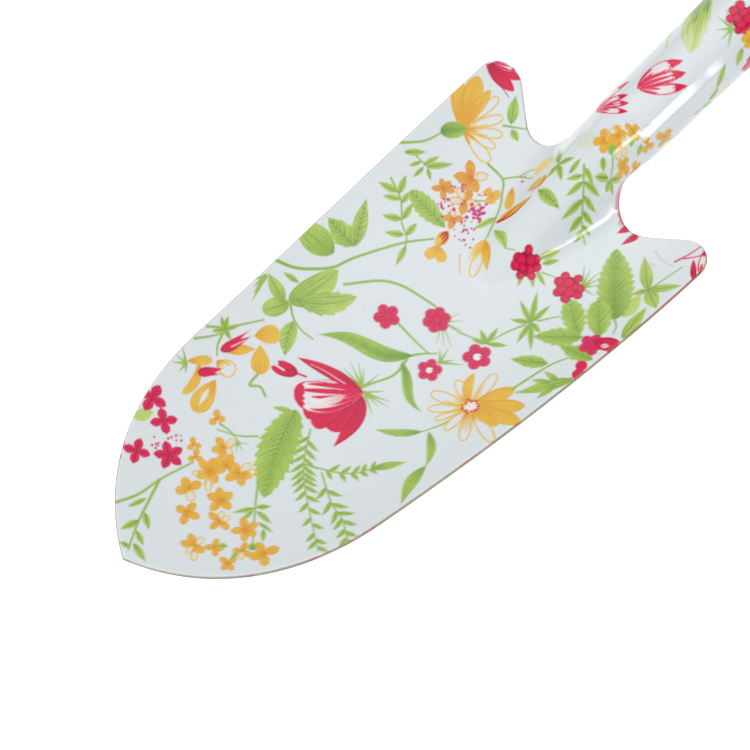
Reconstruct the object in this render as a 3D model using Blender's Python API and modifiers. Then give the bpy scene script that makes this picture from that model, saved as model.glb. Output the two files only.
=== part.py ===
"""Hand trowel: a pressed steel blade whose neck is rolled into a socket, on a turned ash handle.

Every piece is modelled in the tool's own frame, in metres: the tip at y = 0, the blade's lowest line at
z = 0, +Z out of its hollow face, the handle towards +Y. The empty "trowel" then lays the tool on a table.
"""

import math

import bmesh
import bpy
import numpy as np
from mathutils import Matrix, Vector

MM = 0.001
GAP = 0.3 * MM

# Sheet
SHEET = 1.5 * MM
HALF_WIDTH = 40.0 * MM
SHOULDER_Y = 154.6 * MM
SHOULDER_LEAN = math.radians(0.3)
OGIVE_Y = 53.0 * MM
OGIVE_HALF_WIDTH = 34.4 * MM
OGIVE_LEAN = math.radians(4.8)
TIP_LEAN = math.radians(65.0)
TIP_PULL = 14.0 * MM
OGIVE_PULL = 33.0 * MM
EAR_RADIUS = 6.3 * MM
EAR_TURN = math.radians(125.5)
NOTCH_RADIUS = 7.7 * MM
DISH = 8.1 * MM
BOW = 7.5 * MM
LOWEST_Y = 80.0 * MM

# Neck and socket
CRANK = math.radians(15.0)
NECK_RADIUS = 9.55 * MM
NECK_TAPER = 0.02
NECK_AXIS_Z = 16.5 * MM
SOCKET_LENGTH = 62.0 * MM
MOUTH_FLARE = 0.6 * MM
FLARE_LENGTH = 14.0 * MM
SEAM_WRAP = math.radians(175.5)
WRAP_LENGTH = 26.0 * MM
UPRIGHT_LENGTH = 14.0 * MM
RIDGE_NOSE_Y = 111.0 * MM
RIDGE_FULL_Y = 166.0 * MM

# Handle, measured along its axis from the socket's mouth
SPIGOT_LENGTH = 46.0 * MM
COLLAR_LENGTH = 6.0 * MM
COLLAR_RADIUS = 12.6 * MM
SHOULDER_S = GAP + COLLAR_LENGTH + GAP
GRIP = (
    (7.4, 12.4), (11.0, 12.9), (28.0, 12.2), (48.0, 13.0), (68.0, 14.6),
    (86.0, 15.4), (102.0, 14.8), (111.0, 13.3), (116.6, 10.4),
)
BUTT_S = 119.0 * MM
BUTT_FLAT_RADIUS = 7.0 * MM

# Fasteners
RIVET_S = -9.0 * MM
RIVET_RADIUS = 2.0 * MM
RIVET_HEAD_RADIUS = 3.6 * MM
RIVET_HEAD_HEIGHT = 1.9 * MM
BURR_RADIUS = 4.4 * MM
BURR_THICKNESS = 0.8 * MM
HANG_S = 101.0 * MM
HANG_HOLE_RADIUS = 6.0 * MM
EYELET_WALL = 0.7 * MM
EYELET_FLANGE_RADIUS = 8.4 * MM
EYELET_FLANGE = 0.8 * MM
SEAT_DEPTH = 2.8 * MM

# Pitch at which the feet of the ridge and the back of the socket touch the table together
REST_PITCH = math.radians(10.6)

EAR_COLUMNS = 10
NOTCH_COLUMNS = 3
NECK_COLUMNS = 20
BLADE_ROWS = 22
NOTCH_ROWS = 5
WRAP_ROWS = 7
SOCKET_ROWS = 6
ROUND_STEPS = 32


# ---------------------------------------------------------------- outline and height of the sheet
def smooth(t):
    t = np.clip(t, 0.0, 1.0)
    return t * t * (3 - 2 * t)


def bezier(a, b, c, d, t):
    return (1 - t) ** 3 * a + 3 * (1 - t) ** 2 * t * b + 3 * (1 - t) * t * t * c + t**3 * d


def heading(angle):
    """Unit vector at this angle from +Y towards +X."""
    return np.array([math.sin(angle), math.cos(angle)])


def front_edge(t):
    """The ogive on the +X side: t = 0 at the tip, 1 where the flank starts."""
    end = np.array([OGIVE_HALF_WIDTH, OGIVE_Y])
    tip = np.zeros(2)
    return bezier(tip, TIP_PULL * heading(TIP_LEAN), end - OGIVE_PULL * heading(OGIVE_LEAN), end, t)


def flank(t):
    """The +X flank, from the ogive to the ear."""
    low, high = np.array([OGIVE_HALF_WIDTH, OGIVE_Y]), np.array([HALF_WIDTH, SHOULDER_Y])
    pull = (SHOULDER_Y - OGIVE_Y) / 3
    return bezier(low, low + pull * heading(OGIVE_LEAN), high - pull * heading(SHOULDER_LEAN), high, t)


def ear_point(turn):
    """A point of the ear's round end, after this much of a left turn."""
    start = np.array([HALF_WIDTH, SHOULDER_Y])
    side = np.array([-math.cos(SHOULDER_LEAN), math.sin(SHOULDER_LEAN)])
    angle = SHOULDER_LEAN - turn
    return start + EAR_RADIUS * side - EAR_RADIUS * np.array([-math.cos(angle), math.sin(angle)])


def notch_centre():
    """The notch's arc touches the ear's inner edge and the neck's side."""
    end = ear_point(EAR_TURN)
    back = SHOULDER_LEAN - EAR_TURN
    centre_x = NECK_RADIUS + NOTCH_RADIUS
    inward = NOTCH_RADIUS * np.array([math.cos(back), -math.sin(back)])
    run = (centre_x - inward[0] - end[0]) / math.sin(back)
    edge = end + run * heading(back)
    return edge + inward, edge


NOTCH_CENTRE, INNER_EDGE_END = notch_centre()
BASE_Y = NOTCH_CENTRE[1] - NOTCH_RADIUS
NECK_Y = NOTCH_CENTRE[1]


def back_edge():
    """Half of the blade's back edge, from the flank to the notch's lowest point."""
    points = [ear_point(turn) for turn in np.linspace(0, EAR_TURN, EAR_COLUMNS - NOTCH_COLUMNS)]
    start = math.atan2(*(INNER_EDGE_END - NOTCH_CENTRE)[::-1])
    for angle in np.linspace(start, -math.pi / 2, NOTCH_COLUMNS + 1)[:-1]:
        points.append(NOTCH_CENTRE + NOTCH_RADIUS * np.array([math.cos(angle), math.sin(angle)]))
    points.append(NOTCH_CENTRE - np.array([0, NOTCH_RADIUS]))
    return np.array(points)


def blade_height(x, y):
    """Height of the hollow face: a dish, bowed lengthwise, with the neck's ridge running out on it."""
    dish = DISH * (x / HALF_WIDTH) ** 2 + BOW * ((y - LOWEST_Y) / LOWEST_Y) ** 2
    grown = smooth((y - RIDGE_NOSE_Y) / (RIDGE_FULL_Y - RIDGE_NOSE_Y))
    crest = NECK_AXIS_Z + NECK_RADIUS - BOW
    t = x / (NECK_RADIUS * (0.55 + 0.45 * grown))
    return dish + crest * grown / (1 + 0.2 * t**2 + 0.8 * t**4)


def neck_radius(s):
    """Outer radius of the neck at distance s along its axis, from the end of the notches."""
    flare = MOUTH_FLARE * smooth((s - SOCKET_LENGTH + FLARE_LENGTH) / FLARE_LENGTH)
    return NECK_RADIUS + NECK_TAPER * max(s, 0.0) + flare


def axis_point(s):
    """A point of the neck's and the handle's axis."""
    return np.array([0.0, NECK_Y + s * math.cos(CRANK), NECK_AXIS_Z + s * math.sin(CRANK)])


def neck_stations():
    """Distances along the neck at which it has a row, closest together round the notches."""
    turns = np.linspace(0, math.pi / 2, NOTCH_ROWS + 1)[1:]
    notch = -NOTCH_RADIUS * np.cos(turns)
    wrap = np.linspace(0, WRAP_LENGTH, WRAP_ROWS + 1)[1:]
    socket = np.linspace(WRAP_LENGTH, SOCKET_LENGTH, SOCKET_ROWS + 1)[1:]
    return np.concatenate([notch, wrap, socket])


def neck_section(s, columns):
    """One row of the neck: the ridge's section where it leaves the blade, the rolled tube further up."""
    v = np.linspace(-1, 1, columns + 1)
    wrap = math.pi / 2 + (SEAM_WRAP - math.pi / 2) * smooth(s / WRAP_LENGTH)
    upright = CRANK * smooth(s / UPRIGHT_LENGTH)
    normal = np.array([0.0, -math.sin(upright), math.cos(upright)])
    radius = neck_radius(s)
    tube = axis_point(s) + radius * (
        np.outer(np.sin(wrap * v), [1, 0, 0]) + np.outer(np.cos(wrap * v), normal)
    )
    if s >= NECK_RADIUS:
        return tube
    y = NECK_Y + s
    reach = max(NOTCH_RADIUS**2 - (y - NOTCH_CENTRE[1]) ** 2, 0.0)
    edge = NOTCH_CENTRE[0] - math.sqrt(reach) if s < 0 else NECK_RADIUS
    even = 1 - smooth((s + NOTCH_RADIUS) / NOTCH_RADIUS)
    x = edge * (even * v + (1 - even) * np.sin(math.pi / 2 * v))
    ridge = np.column_stack([x, np.full_like(x, y), blade_height(x, y)])
    rolled = smooth((s + NOTCH_RADIUS) / (NOTCH_RADIUS + NECK_RADIUS))
    return (1 - rolled) * ridge + rolled * tube


# ---------------------------------------------------------------- building blocks
def clear_scene():
    for old in list(bpy.data.objects):
        bpy.data.objects.remove(old, do_unlink=True)


def collection(name):
    made = bpy.data.collections.new(name)
    bpy.context.scene.collection.children.link(made)
    return made


def material(name, colour, roughness, metallic=0.0):
    made = bpy.data.materials.new(name)
    made.use_nodes = True
    shader = made.node_tree.nodes["Principled BSDF"]
    shader.inputs["Base Color"].default_value = (*colour, 1.0)
    shader.inputs["Roughness"].default_value = roughness
    shader.inputs["Metallic"].default_value = metallic
    made.diffuse_color = (*colour, 1.0)
    return made


def new_object(name, mesh, group, look=None):
    made = bpy.data.objects.new(name, mesh)
    group.objects.link(made)
    if look is not None:
        mesh.materials.append(look)
    return made


def turned(name, profile, group, look=None, steps=ROUND_STEPS):
    """A solid turned about its local Z. The profile is (radius, height) pairs, run down the outer side."""
    mesh = bpy.data.meshes.new(name)
    points = [(radius, 0.0, height) for radius, height in profile]
    closed = profile[0][0] > 0
    edges = [(i, i + 1) for i in range(len(points) - 1)]
    if closed:
        edges.append((len(points) - 1, 0))
    mesh.from_pydata(points, edges, [])
    made = new_object(name, mesh, group, look)
    screw = made.modifiers.new("turn", "SCREW")
    screw.steps = screw.render_steps = steps
    screw.use_merge_vertices = True
    screw.merge_threshold = 0.00001
    screw.use_smooth_shade = True
    return made


def cutter_cylinder(name, radius, depth, group):
    bpy.ops.mesh.primitive_cylinder_add(vertices=ROUND_STEPS, radius=radius, depth=depth)
    made = bpy.context.object
    made.name = name
    for old in list(made.users_collection):
        old.objects.unlink(made)
    group.objects.link(made)
    made.hide_render = True
    made.display_type = "WIRE"
    return made


def cut(body, cutter):
    modifier = body.modifiers.new("cut_" + cutter.name, "BOOLEAN")
    modifier.operation = "DIFFERENCE"
    modifier.solver = "EXACT"
    modifier.object = cutter


def along_axis(s):
    """Placement with local Z along the handle's axis, at distance s from the socket's mouth."""
    place = Matrix.Rotation(CRANK - math.pi / 2, 4, "X")
    place.translation = Vector(axis_point(SOCKET_LENGTH + s))
    return place


def across(s):
    """Placement with local Z along +X, at distance s from the socket's mouth."""
    return along_axis(s) @ Matrix.Rotation(math.pi / 2, 4, "Y")


def upright(s):
    """Placement with local Z square to the handle's axis, out of the blade's hollow side."""
    return along_axis(s) @ Matrix.Rotation(math.pi / 2, 4, "X")


# ---------------------------------------------------------------- the pieces
def blade_points():
    """Grid rows from the front edge to the back edge; the back row holds the neck's base."""
    half = back_edge()
    base = np.linspace(-1, 1, NECK_COLUMNS + 1)[1:-1] * half[-1][0]
    mirrored = half * np.array([-1, 1])
    middle = np.column_stack([base, np.full_like(base, BASE_Y)])
    back = np.concatenate([mirrored, middle, half[::-1]])
    spread = np.linspace(-1, 1, len(back))
    front = np.array([front_edge(abs(v)) * np.array([math.copysign(1, v), 1]) for v in spread])
    side = np.array([flank(t) for t in np.linspace(0, 1, BLADE_ROWS + 1)])
    rows = []
    for i, t in enumerate(np.linspace(0, 1, BLADE_ROWS + 1)):
        row = (1 - t) * front + t * back
        bulge = side[i] - row[-1]
        row = row + np.outer(np.abs(spread) ** 3, bulge) * np.column_stack(
            [np.sign(spread), np.ones_like(spread)]
        )
        rows.append(np.column_stack([row, blade_height(row[:, 0], row[:, 1])]))
    return rows


def blade_and_socket(group, look):
    """One pressed sheet: the blade, and the neck rolled round into a socket with an open seam behind."""
    bm = bmesh.new()
    rows = [[bm.verts.new(p) for p in row] for row in blade_points()]
    neck = [rows[-1][EAR_COLUMNS : EAR_COLUMNS + NECK_COLUMNS + 1]]
    for s in neck_stations():
        neck.append([bm.verts.new(p) for p in neck_section(s, NECK_COLUMNS)])
    for grid in (rows, neck):
        for low, high in zip(grid, grid[1:]):
            for j in range(len(low) - 1):
                bm.faces.new((low[j], low[j + 1], high[j + 1], high[j]))
    mesh = bpy.data.meshes.new("blade_and_socket")
    bm.to_mesh(mesh)
    bm.free()
    made = new_object("blade_and_socket", mesh, group, look)
    solid = made.modifiers.new("sheet", "SOLIDIFY")
    solid.thickness = SHEET
    solid.offset = -1
    solid.use_even_offset = True
    solid.use_quality_normals = True
    mesh.shade_smooth()
    return made


def spigot_radius(s):
    return neck_radius(SOCKET_LENGTH + s) - SHEET - GAP


def grip_profile():
    """Radius and height of the handle, from the butt down to the spigot's end."""
    knots = [(s * MM, r * MM) for s, r in GRIP]
    curve = []
    for i in range(len(knots) - 1):
        p0, p1 = knots[max(i - 1, 0)], knots[i]
        p2, p3 = knots[i + 1], knots[min(i + 2, len(knots) - 1)]
        for t in np.linspace(0, 1, 4)[:-1]:
            w = (-t + 2 * t**2 - t**3, 2 - 5 * t**2 + 3 * t**3, t + 4 * t**2 - 3 * t**3, t**3 - t**2)
            s, r = (sum(k * p[axis] for k, p in zip(w, (p0, p1, p2, p3))) / 2 for axis in (0, 1))
            curve.append((r, s))
    curve.append((knots[-1][1], knots[-1][0]))
    shoulder = [(knots[0][1] - 0.8 * MM, SHOULDER_S), (spigot_radius(0), SHOULDER_S)]
    end = -SPIGOT_LENGTH
    flared = [(spigot_radius(s), s) for s in np.linspace(0, -FLARE_LENGTH, 5)]
    spigot = flared + [(spigot_radius(end), end + 1 * MM), (spigot_radius(end) - 1 * MM, end), (0.0, end)]
    butt = [(0.0, BUTT_S), (BUTT_FLAT_RADIUS, BUTT_S)]
    return butt + curve[::-1] + shoulder + spigot


def handle(group, cutters, look):
    made = turned("handle", grip_profile(), group, look)
    made.matrix_world = along_axis(0)
    pin = cutter_cylinder("cut_rivet_in_handle", RIVET_RADIUS + GAP, 60 * MM, cutters)
    pin.matrix_world = across(RIVET_S)
    hole = cutter_cylinder("cut_hang_hole", HANG_HOLE_RADIUS, 60 * MM, cutters)
    hole.matrix_world = upright(HANG_S)
    cut(made, pin)
    cut(made, hole)
    for side, name in ((1, "front"), (-1, "back")):
        seat = cutter_cylinder("cut_eyelet_seat_" + name, EYELET_FLANGE_RADIUS + GAP, 10 * MM, cutters)
        seat.matrix_world = upright(HANG_S) @ Matrix.Translation((0, 0, side * (seat_height() + 5 * MM)))
        cut(made, seat)
    return made


def grip_radius(s):
    """Radius of the grip at this distance from the mouth, between its knots."""
    knots = np.array(GRIP) * MM
    return float(np.interp(s, knots[:, 0], knots[:, 1]))


def seat_height():
    """Distance of the eyelet's seats from the handle's axis."""
    return grip_radius(HANG_S) - SEAT_DEPTH


def collar(group, look):
    """Turned bead between the socket's mouth and the handle's shoulder."""
    inner = spigot_radius(0) + GAP
    length, radius = COLLAR_LENGTH, COLLAR_RADIUS
    outer = [(radius - 1.2 * MM, length), (radius - 0.5 * MM, length - 0.4 * MM)]
    for angle in np.radians(np.linspace(60, -60, 5)):
        bulge = (length / 2 - 1.1 * MM) / math.sin(math.radians(60))
        outer.append((radius - 1.0 * MM + math.cos(angle) * 1.2 * MM, length / 2 + bulge * math.sin(angle)))
    outer += [(radius - 0.5 * MM, 0.4 * MM), (radius - 1.2 * MM, 0.0)]
    made = turned("collar", outer + [(inner, 0.0), (inner, length)], group, look)
    made.matrix_world = along_axis(GAP)
    return made


def dome(radius, height, base, count=5):
    """Profile of a rivet head, from its top down to its edge."""
    angles = np.linspace(math.pi / 2, 0, count)
    return [(radius * math.cos(a), base + height * math.sin(a)) for a in angles]


def wall_distance():
    """Half the socket's width at the rivet."""
    return neck_radius(SOCKET_LENGTH + RIVET_S)


def socket_rivet(group, look):
    """Rivet through both walls of the socket and the spigot, with a head at each end."""
    head = wall_distance() + 0.1 * MM + GAP
    tail = wall_distance() + 0.1 * MM + GAP + BURR_THICKNESS + GAP
    profile = dome(RIVET_HEAD_RADIUS, RIVET_HEAD_HEIGHT, head)
    profile[0] = (0.0, profile[0][1])
    profile += [(RIVET_RADIUS, head), (RIVET_RADIUS, -tail)]
    formed = [(r * 0.85, -h) for r, h in dome(RIVET_HEAD_RADIUS, RIVET_HEAD_HEIGHT, tail)][::-1]
    formed[-1] = (0.0, formed[-1][1])
    made = turned("socket_rivet", profile + formed, group, look, steps=24)
    made.matrix_world = across(RIVET_S)
    return made


def rivet_burr(group, look):
    """Washer that the rivet's tail is formed over."""
    inner = RIVET_RADIUS + GAP
    low = -(wall_distance() + 0.1 * MM + GAP + BURR_THICKNESS)
    high = low + BURR_THICKNESS
    profile = [(BURR_RADIUS - 0.2 * MM, high), (BURR_RADIUS, high - 0.2 * MM), (BURR_RADIUS, low + 0.2 * MM),
               (BURR_RADIUS - 0.2 * MM, low), (inner, low), (inner, high)]
    made = turned("rivet_burr", profile, group, look, steps=24)
    made.matrix_world = across(RIVET_S)
    return made


def hang_eyelet(group, look):
    """Liner of the hang hole: a flange in front, a barrel, and its rolled end behind."""
    seat = seat_height()
    outer = HANG_HOLE_RADIUS - GAP
    inner = outer - EYELET_WALL
    top = seat + GAP + EYELET_FLANGE
    lip = seat + GAP + EYELET_FLANGE + GAP
    round_over = 0.35 * MM
    profile = [
        (inner + round_over, top), (EYELET_FLANGE_RADIUS - round_over, top),
        (EYELET_FLANGE_RADIUS, top - round_over), (EYELET_FLANGE_RADIUS, seat + GAP),
        (outer, seat + GAP), (outer, -lip), (outer + 1.1 * MM, -lip),
        (outer + 1.1 * MM, -lip - 0.35 * MM), (outer + 0.6 * MM, -lip - 0.7 * MM),
        (inner + round_over, -lip - 0.7 * MM), (inner, -lip), (inner, top - round_over),
    ]
    made = turned("hang_eyelet", profile, group, look)
    made.matrix_world = upright(HANG_S)
    return made


def eyelet_washer(group, look):
    """Ring under the eyelet's rolled end."""
    inner = HANG_HOLE_RADIUS
    high = -(seat_height() + GAP)
    low = high - EYELET_FLANGE
    bevel = 0.3 * MM
    profile = [(EYELET_FLANGE_RADIUS, high), (EYELET_FLANGE_RADIUS, low + bevel),
               (EYELET_FLANGE_RADIUS - bevel, low), (inner, low), (inner, high)]
    made = turned("eyelet_washer", profile, group, look)
    made.matrix_world = upright(HANG_S)
    return made


# ---------------------------------------------------------------- assembly
def world_points(objects):
    graph = bpy.context.evaluated_depsgraph_get()
    found = []
    for made in objects:
        evaluated = made.evaluated_get(graph)
        mesh = evaluated.to_mesh()
        co = np.empty(len(mesh.vertices) * 3, np.float32)
        mesh.vertices.foreach_get("co", co)
        evaluated.to_mesh_clear()
        place = np.array(evaluated.matrix_world)
        found.append(co.reshape(-1, 3) @ place[:3, :3].T + place[:3, 3])
    return np.concatenate(found)


def lay_on_table(pieces):
    """Parents every piece to one empty, pitches it, and puts the middle of the footprint at the origin."""
    root = bpy.data.objects.new("trowel", None)
    bpy.context.scene.collection.objects.link(root)
    bpy.context.view_layer.update()
    for piece in pieces:
        place = piece.matrix_world.copy()
        piece.parent = root
        piece.matrix_world = place
    root.rotation_euler.x = -REST_PITCH
    bpy.context.view_layer.update()
    points = world_points([p for p in pieces if not p.hide_render])
    low, high = points.min(axis=0), points.max(axis=0)
    root.location = (-(low[0] + high[0]) / 2, -(low[1] + high[1]) / 2, -low[2])
    bpy.context.view_layer.update()


def main():
    clear_scene()
    parts, cutters = collection("hand_trowel"), collection("cutters")
    enamel = material("printed_enamel", (0.78, 0.82, 0.83), 0.12)
    ash = material("varnished_ash", (0.60, 0.40, 0.22), 0.38)
    brass = material("brass", (0.75, 0.55, 0.25), 0.25, 1.0)
    steel = material("bright_steel", (0.62, 0.62, 0.63), 0.3, 1.0)

    sheet = blade_and_socket(parts, enamel)
    hole = cutter_cylinder("cut_rivet_in_socket", RIVET_RADIUS + GAP, 60 * MM, cutters)
    hole.matrix_world = across(RIVET_S)
    cut(sheet, hole)
    handle(parts, cutters, ash)
    collar(parts, brass)
    socket_rivet(parts, steel)
    rivet_burr(parts, steel)
    hang_eyelet(parts, brass)
    eyelet_washer(parts, brass)
    lay_on_table(list(parts.objects) + list(cutters.objects))


main()
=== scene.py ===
import math

import bmesh
import bpy
import numpy as np
from mathutils import Matrix, Vector
from mathutils.kdtree import KDTree


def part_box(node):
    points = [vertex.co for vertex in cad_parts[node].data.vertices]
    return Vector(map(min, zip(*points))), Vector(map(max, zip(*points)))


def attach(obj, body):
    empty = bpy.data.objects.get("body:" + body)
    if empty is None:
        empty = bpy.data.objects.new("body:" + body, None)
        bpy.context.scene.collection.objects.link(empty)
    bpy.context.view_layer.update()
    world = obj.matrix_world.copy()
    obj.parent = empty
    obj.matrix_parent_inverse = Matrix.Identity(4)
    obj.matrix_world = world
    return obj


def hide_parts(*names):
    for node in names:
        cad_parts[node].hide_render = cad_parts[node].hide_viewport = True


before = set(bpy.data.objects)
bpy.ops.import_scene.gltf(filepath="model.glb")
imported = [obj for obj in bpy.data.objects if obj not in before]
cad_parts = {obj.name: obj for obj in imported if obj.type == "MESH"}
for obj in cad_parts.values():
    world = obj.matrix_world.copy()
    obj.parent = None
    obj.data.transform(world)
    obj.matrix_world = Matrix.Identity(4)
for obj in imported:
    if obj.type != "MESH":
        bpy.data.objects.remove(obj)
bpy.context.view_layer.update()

MM = 0.001

# ---------------------------------------------------------------- the sheet, in the tool's own frame, in mm
SHEET = 1.5
HALF_WIDTH = 40.0
SHOULDER_Y = 154.6
SHOULDER_LEAN = math.radians(0.3)
OGIVE_Y = 53.0
OGIVE_HALF_WIDTH = 34.4
OGIVE_LEAN = math.radians(4.8)
TIP_LEAN = math.radians(65.0)
TIP_PULL = 14.0
OGIVE_PULL = 33.0
EAR_RADIUS = 6.3
EAR_TURN = math.radians(125.5)
NOTCH_RADIUS = 7.7
DISH = 8.1
BOW = 7.5
LOWEST_Y = 80.0
CRANK = math.radians(15.0)
NECK_RADIUS = 9.55
NECK_TAPER = 0.02
NECK_AXIS_Z = 16.5
SOCKET_LENGTH = 62.0
MOUTH_FLARE = 0.6
FLARE_LENGTH = 14.0
SEAM_WRAP = math.radians(175.5)
WRAP_LENGTH = 26.0
UPRIGHT_LENGTH = 14.0
RIDGE_NOSE_Y = 111.0
RIDGE_FULL_Y = 166.0
REST_PITCH = math.radians(10.6)
TABLE_SHIFT = np.array([0.0, -171.158, 21.371]) * MM

# ---------------------------------------------------------------- the wooden handle and its fittings
GAP = 0.3
SPIGOT_LENGTH = 46.0
COLLAR_LENGTH = 6.0
COLLAR_RADIUS = 12.6
SHOULDER_S = GAP + COLLAR_LENGTH + GAP
GRIP = (
    (7.4, 12.4), (11.0, 12.9), (28.0, 12.2), (48.0, 13.0), (68.0, 14.6),
    (86.0, 15.4), (102.0, 14.8), (111.0, 13.3), (116.6, 10.4),
)
BUTT_S = 119.0
BUTT_FLAT_RADIUS = 7.0
RIVET_S = -9.0
RIVET_RADIUS = 2.0
RIVET_HEAD_RADIUS = 3.6
RIVET_HEAD_HEIGHT = 1.9
BURR_RADIUS = 4.4
BURR_THICKNESS = 0.8
HANG_S = 101.0
HANG_HOLE_RADIUS = 6.0
EYELET_WALL = 0.7
EYELET_FLANGE_RADIUS = 8.4
EYELET_FLANGE = 0.8
SEAT_DEPTH = 2.8
THROUGH = 60.0
SEAT_CUT = 10.0

# ---------------------------------------------------------------- mesh density of the printed sheet
EAR_STEPS = 96
NECK_STEPS = 180
BLADE_STEPS = 500
NOTCH_STEPS = 40
SOCKET_STEPS = 200
RIM_RADIUS = 0.6
RIM_RINGS = 16
PRINT_BLEND = 12.0

# ---------------------------------------------------------------- camera, in the tool's frame
VIEW_AZIMUTH = math.radians(48.0)
VIEW_ELEVATION = math.radians(64.4)
VIEW_DISTANCE = 799.0
VIEW_TARGET = np.array([0.0, 90.0, 7.5])
VIEW_OFFSET = (-6.25, -10.35)
VIEW_LENS = 153.4


def smooth(t):
    t = np.clip(t, 0.0, 1.0)
    return t * t * (3 - 2 * t)


def bezier(a, b, c, d, t):
    t = np.asarray(t, float)[..., None]
    return (1 - t) ** 3 * a + 3 * (1 - t) ** 2 * t * b + 3 * (1 - t) * t * t * c + t**3 * d


def heading(angle):
    """Unit vector at this angle from +Y towards +X."""
    return np.array([math.sin(angle), math.cos(angle)])


def polar(centre, reach, angle):
    """The point at this reach from the centre, at this angle from +X towards +Y."""
    return np.array(centre) + reach * np.array([math.cos(angle), math.sin(angle)])


def unit(v):
    return v / np.linalg.norm(v)


def spline(points, steps):
    """A Catmull-Rom curve through the points, but for the first and the last, which only steer it."""
    t = np.linspace(0, 1, steps, endpoint=False)[:, None]
    rows = []
    for a, b, c, d in zip(points, points[1:], points[2:], points[3:]):
        square, cube = 2 * a - 5 * b + 4 * c - d, 3 * b - a - 3 * c + d
        rows.append((2 * b + (c - a) * t + square * t**2 + cube * t**3) / 2)
    return np.concatenate(rows + [points[-2:-1]])


def evenly(points, count):
    """The curve through these points, as count + 1 points at equal steps."""
    run = np.concatenate([[0], np.cumsum(np.linalg.norm(np.diff(points, axis=0), axis=1))])
    at = np.linspace(0, run[-1], count + 1)
    return np.column_stack([np.interp(at, run, points[:, k]) for k in range(points.shape[1])])


def front_edge():
    """The ogive on the +X side, from the tip to the flank."""
    end = np.array([OGIVE_HALF_WIDTH, OGIVE_Y])
    pull_tip, pull_end = TIP_PULL * heading(TIP_LEAN), end - OGIVE_PULL * heading(OGIVE_LEAN)
    return bezier(np.zeros(2), pull_tip, pull_end, end, np.linspace(0, 1, 600))


def flank():
    low, high = np.array([OGIVE_HALF_WIDTH, OGIVE_Y]), np.array([HALF_WIDTH, SHOULDER_Y])
    pull = (SHOULDER_Y - OGIVE_Y) / 3
    near, far = low + pull * heading(OGIVE_LEAN), high - pull * heading(SHOULDER_LEAN)
    return bezier(low, near, far, high, np.linspace(0, 1, BLADE_STEPS + 1))


def ear_point(turn):
    start = np.array([HALF_WIDTH, SHOULDER_Y])
    side = np.array([-math.cos(SHOULDER_LEAN), math.sin(SHOULDER_LEAN)])
    angle = SHOULDER_LEAN - turn
    return start + EAR_RADIUS * side - EAR_RADIUS * np.array([-math.cos(angle), math.sin(angle)])


def notch_centre():
    """The notch's arc touches the ear's inner edge and the neck's side."""
    end = ear_point(EAR_TURN)
    back = SHOULDER_LEAN - EAR_TURN
    inward = NOTCH_RADIUS * np.array([math.cos(back), -math.sin(back)])
    run = (NECK_RADIUS + NOTCH_RADIUS - inward[0] - end[0]) / math.sin(back)
    edge = end + run * heading(back)
    return edge + inward, edge


NOTCH_CENTRE, INNER_EDGE_END = notch_centre()
BASE_Y = NOTCH_CENTRE[1] - NOTCH_RADIUS
NECK_Y = NOTCH_CENTRE[1]


def back_edge():
    """Half of the blade's back edge, from the flank round the ear to the notch's lowest point."""
    points = [ear_point(turn) for turn in np.linspace(0, EAR_TURN, 200)]
    start = math.atan2(*(INNER_EDGE_END - NOTCH_CENTRE)[::-1])
    for angle in np.linspace(start, -math.pi / 2, 200):
        points.append(polar(NOTCH_CENTRE, NOTCH_RADIUS, angle))
    return evenly(np.array(points), EAR_STEPS)


def blade_height(x, y):
    """Height of the hollow face: a dish, bowed lengthwise, with the neck's ridge running out on it."""
    dish = DISH * (x / HALF_WIDTH) ** 2 + BOW * ((y - LOWEST_Y) / LOWEST_Y) ** 2
    grown = smooth((y - RIDGE_NOSE_Y) / (RIDGE_FULL_Y - RIDGE_NOSE_Y))
    crest = NECK_AXIS_Z + NECK_RADIUS - BOW
    t = x / (NECK_RADIUS * (0.55 + 0.45 * grown))
    return dish + crest * grown / (1 + 0.2 * t**2 + 0.8 * t**4)


def neck_radius(s):
    flare = MOUTH_FLARE * smooth((s - SOCKET_LENGTH + FLARE_LENGTH) / FLARE_LENGTH)
    return NECK_RADIUS + NECK_TAPER * max(s, 0.0) + flare


def axis_point(s):
    return np.array([0.0, NECK_Y + s * math.cos(CRANK), NECK_AXIS_Z + s * math.sin(CRANK)])


def neck_section(s, v):
    """One row of the neck: the ridge's section where it leaves the blade, the rolled tube further up."""
    wrap = math.pi / 2 + (SEAM_WRAP - math.pi / 2) * smooth(s / WRAP_LENGTH)
    tilt = CRANK * smooth(s / UPRIGHT_LENGTH)
    normal = np.array([0.0, -math.sin(tilt), math.cos(tilt)])
    tube = axis_point(s) + neck_radius(s) * (
        np.outer(np.sin(wrap * v), [1, 0, 0]) + np.outer(np.cos(wrap * v), normal)
    )
    if s >= NECK_RADIUS:
        return tube
    y = NECK_Y + s
    reach = max(NOTCH_RADIUS**2 - (y - NOTCH_CENTRE[1]) ** 2, 0.0)
    edge = NOTCH_CENTRE[0] - math.sqrt(reach) if s < 0 else NECK_RADIUS
    even = 1 - smooth((s + NOTCH_RADIUS) / NOTCH_RADIUS)
    x = edge * (even * v + (1 - even) * np.sin(math.pi / 2 * v))
    ridge = np.column_stack([x, np.full_like(x, y), blade_height(x, y)])
    rolled = smooth((s + NOTCH_RADIUS) / (NOTCH_RADIUS + NECK_RADIUS))
    return (1 - rolled) * ridge + rolled * tube


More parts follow.
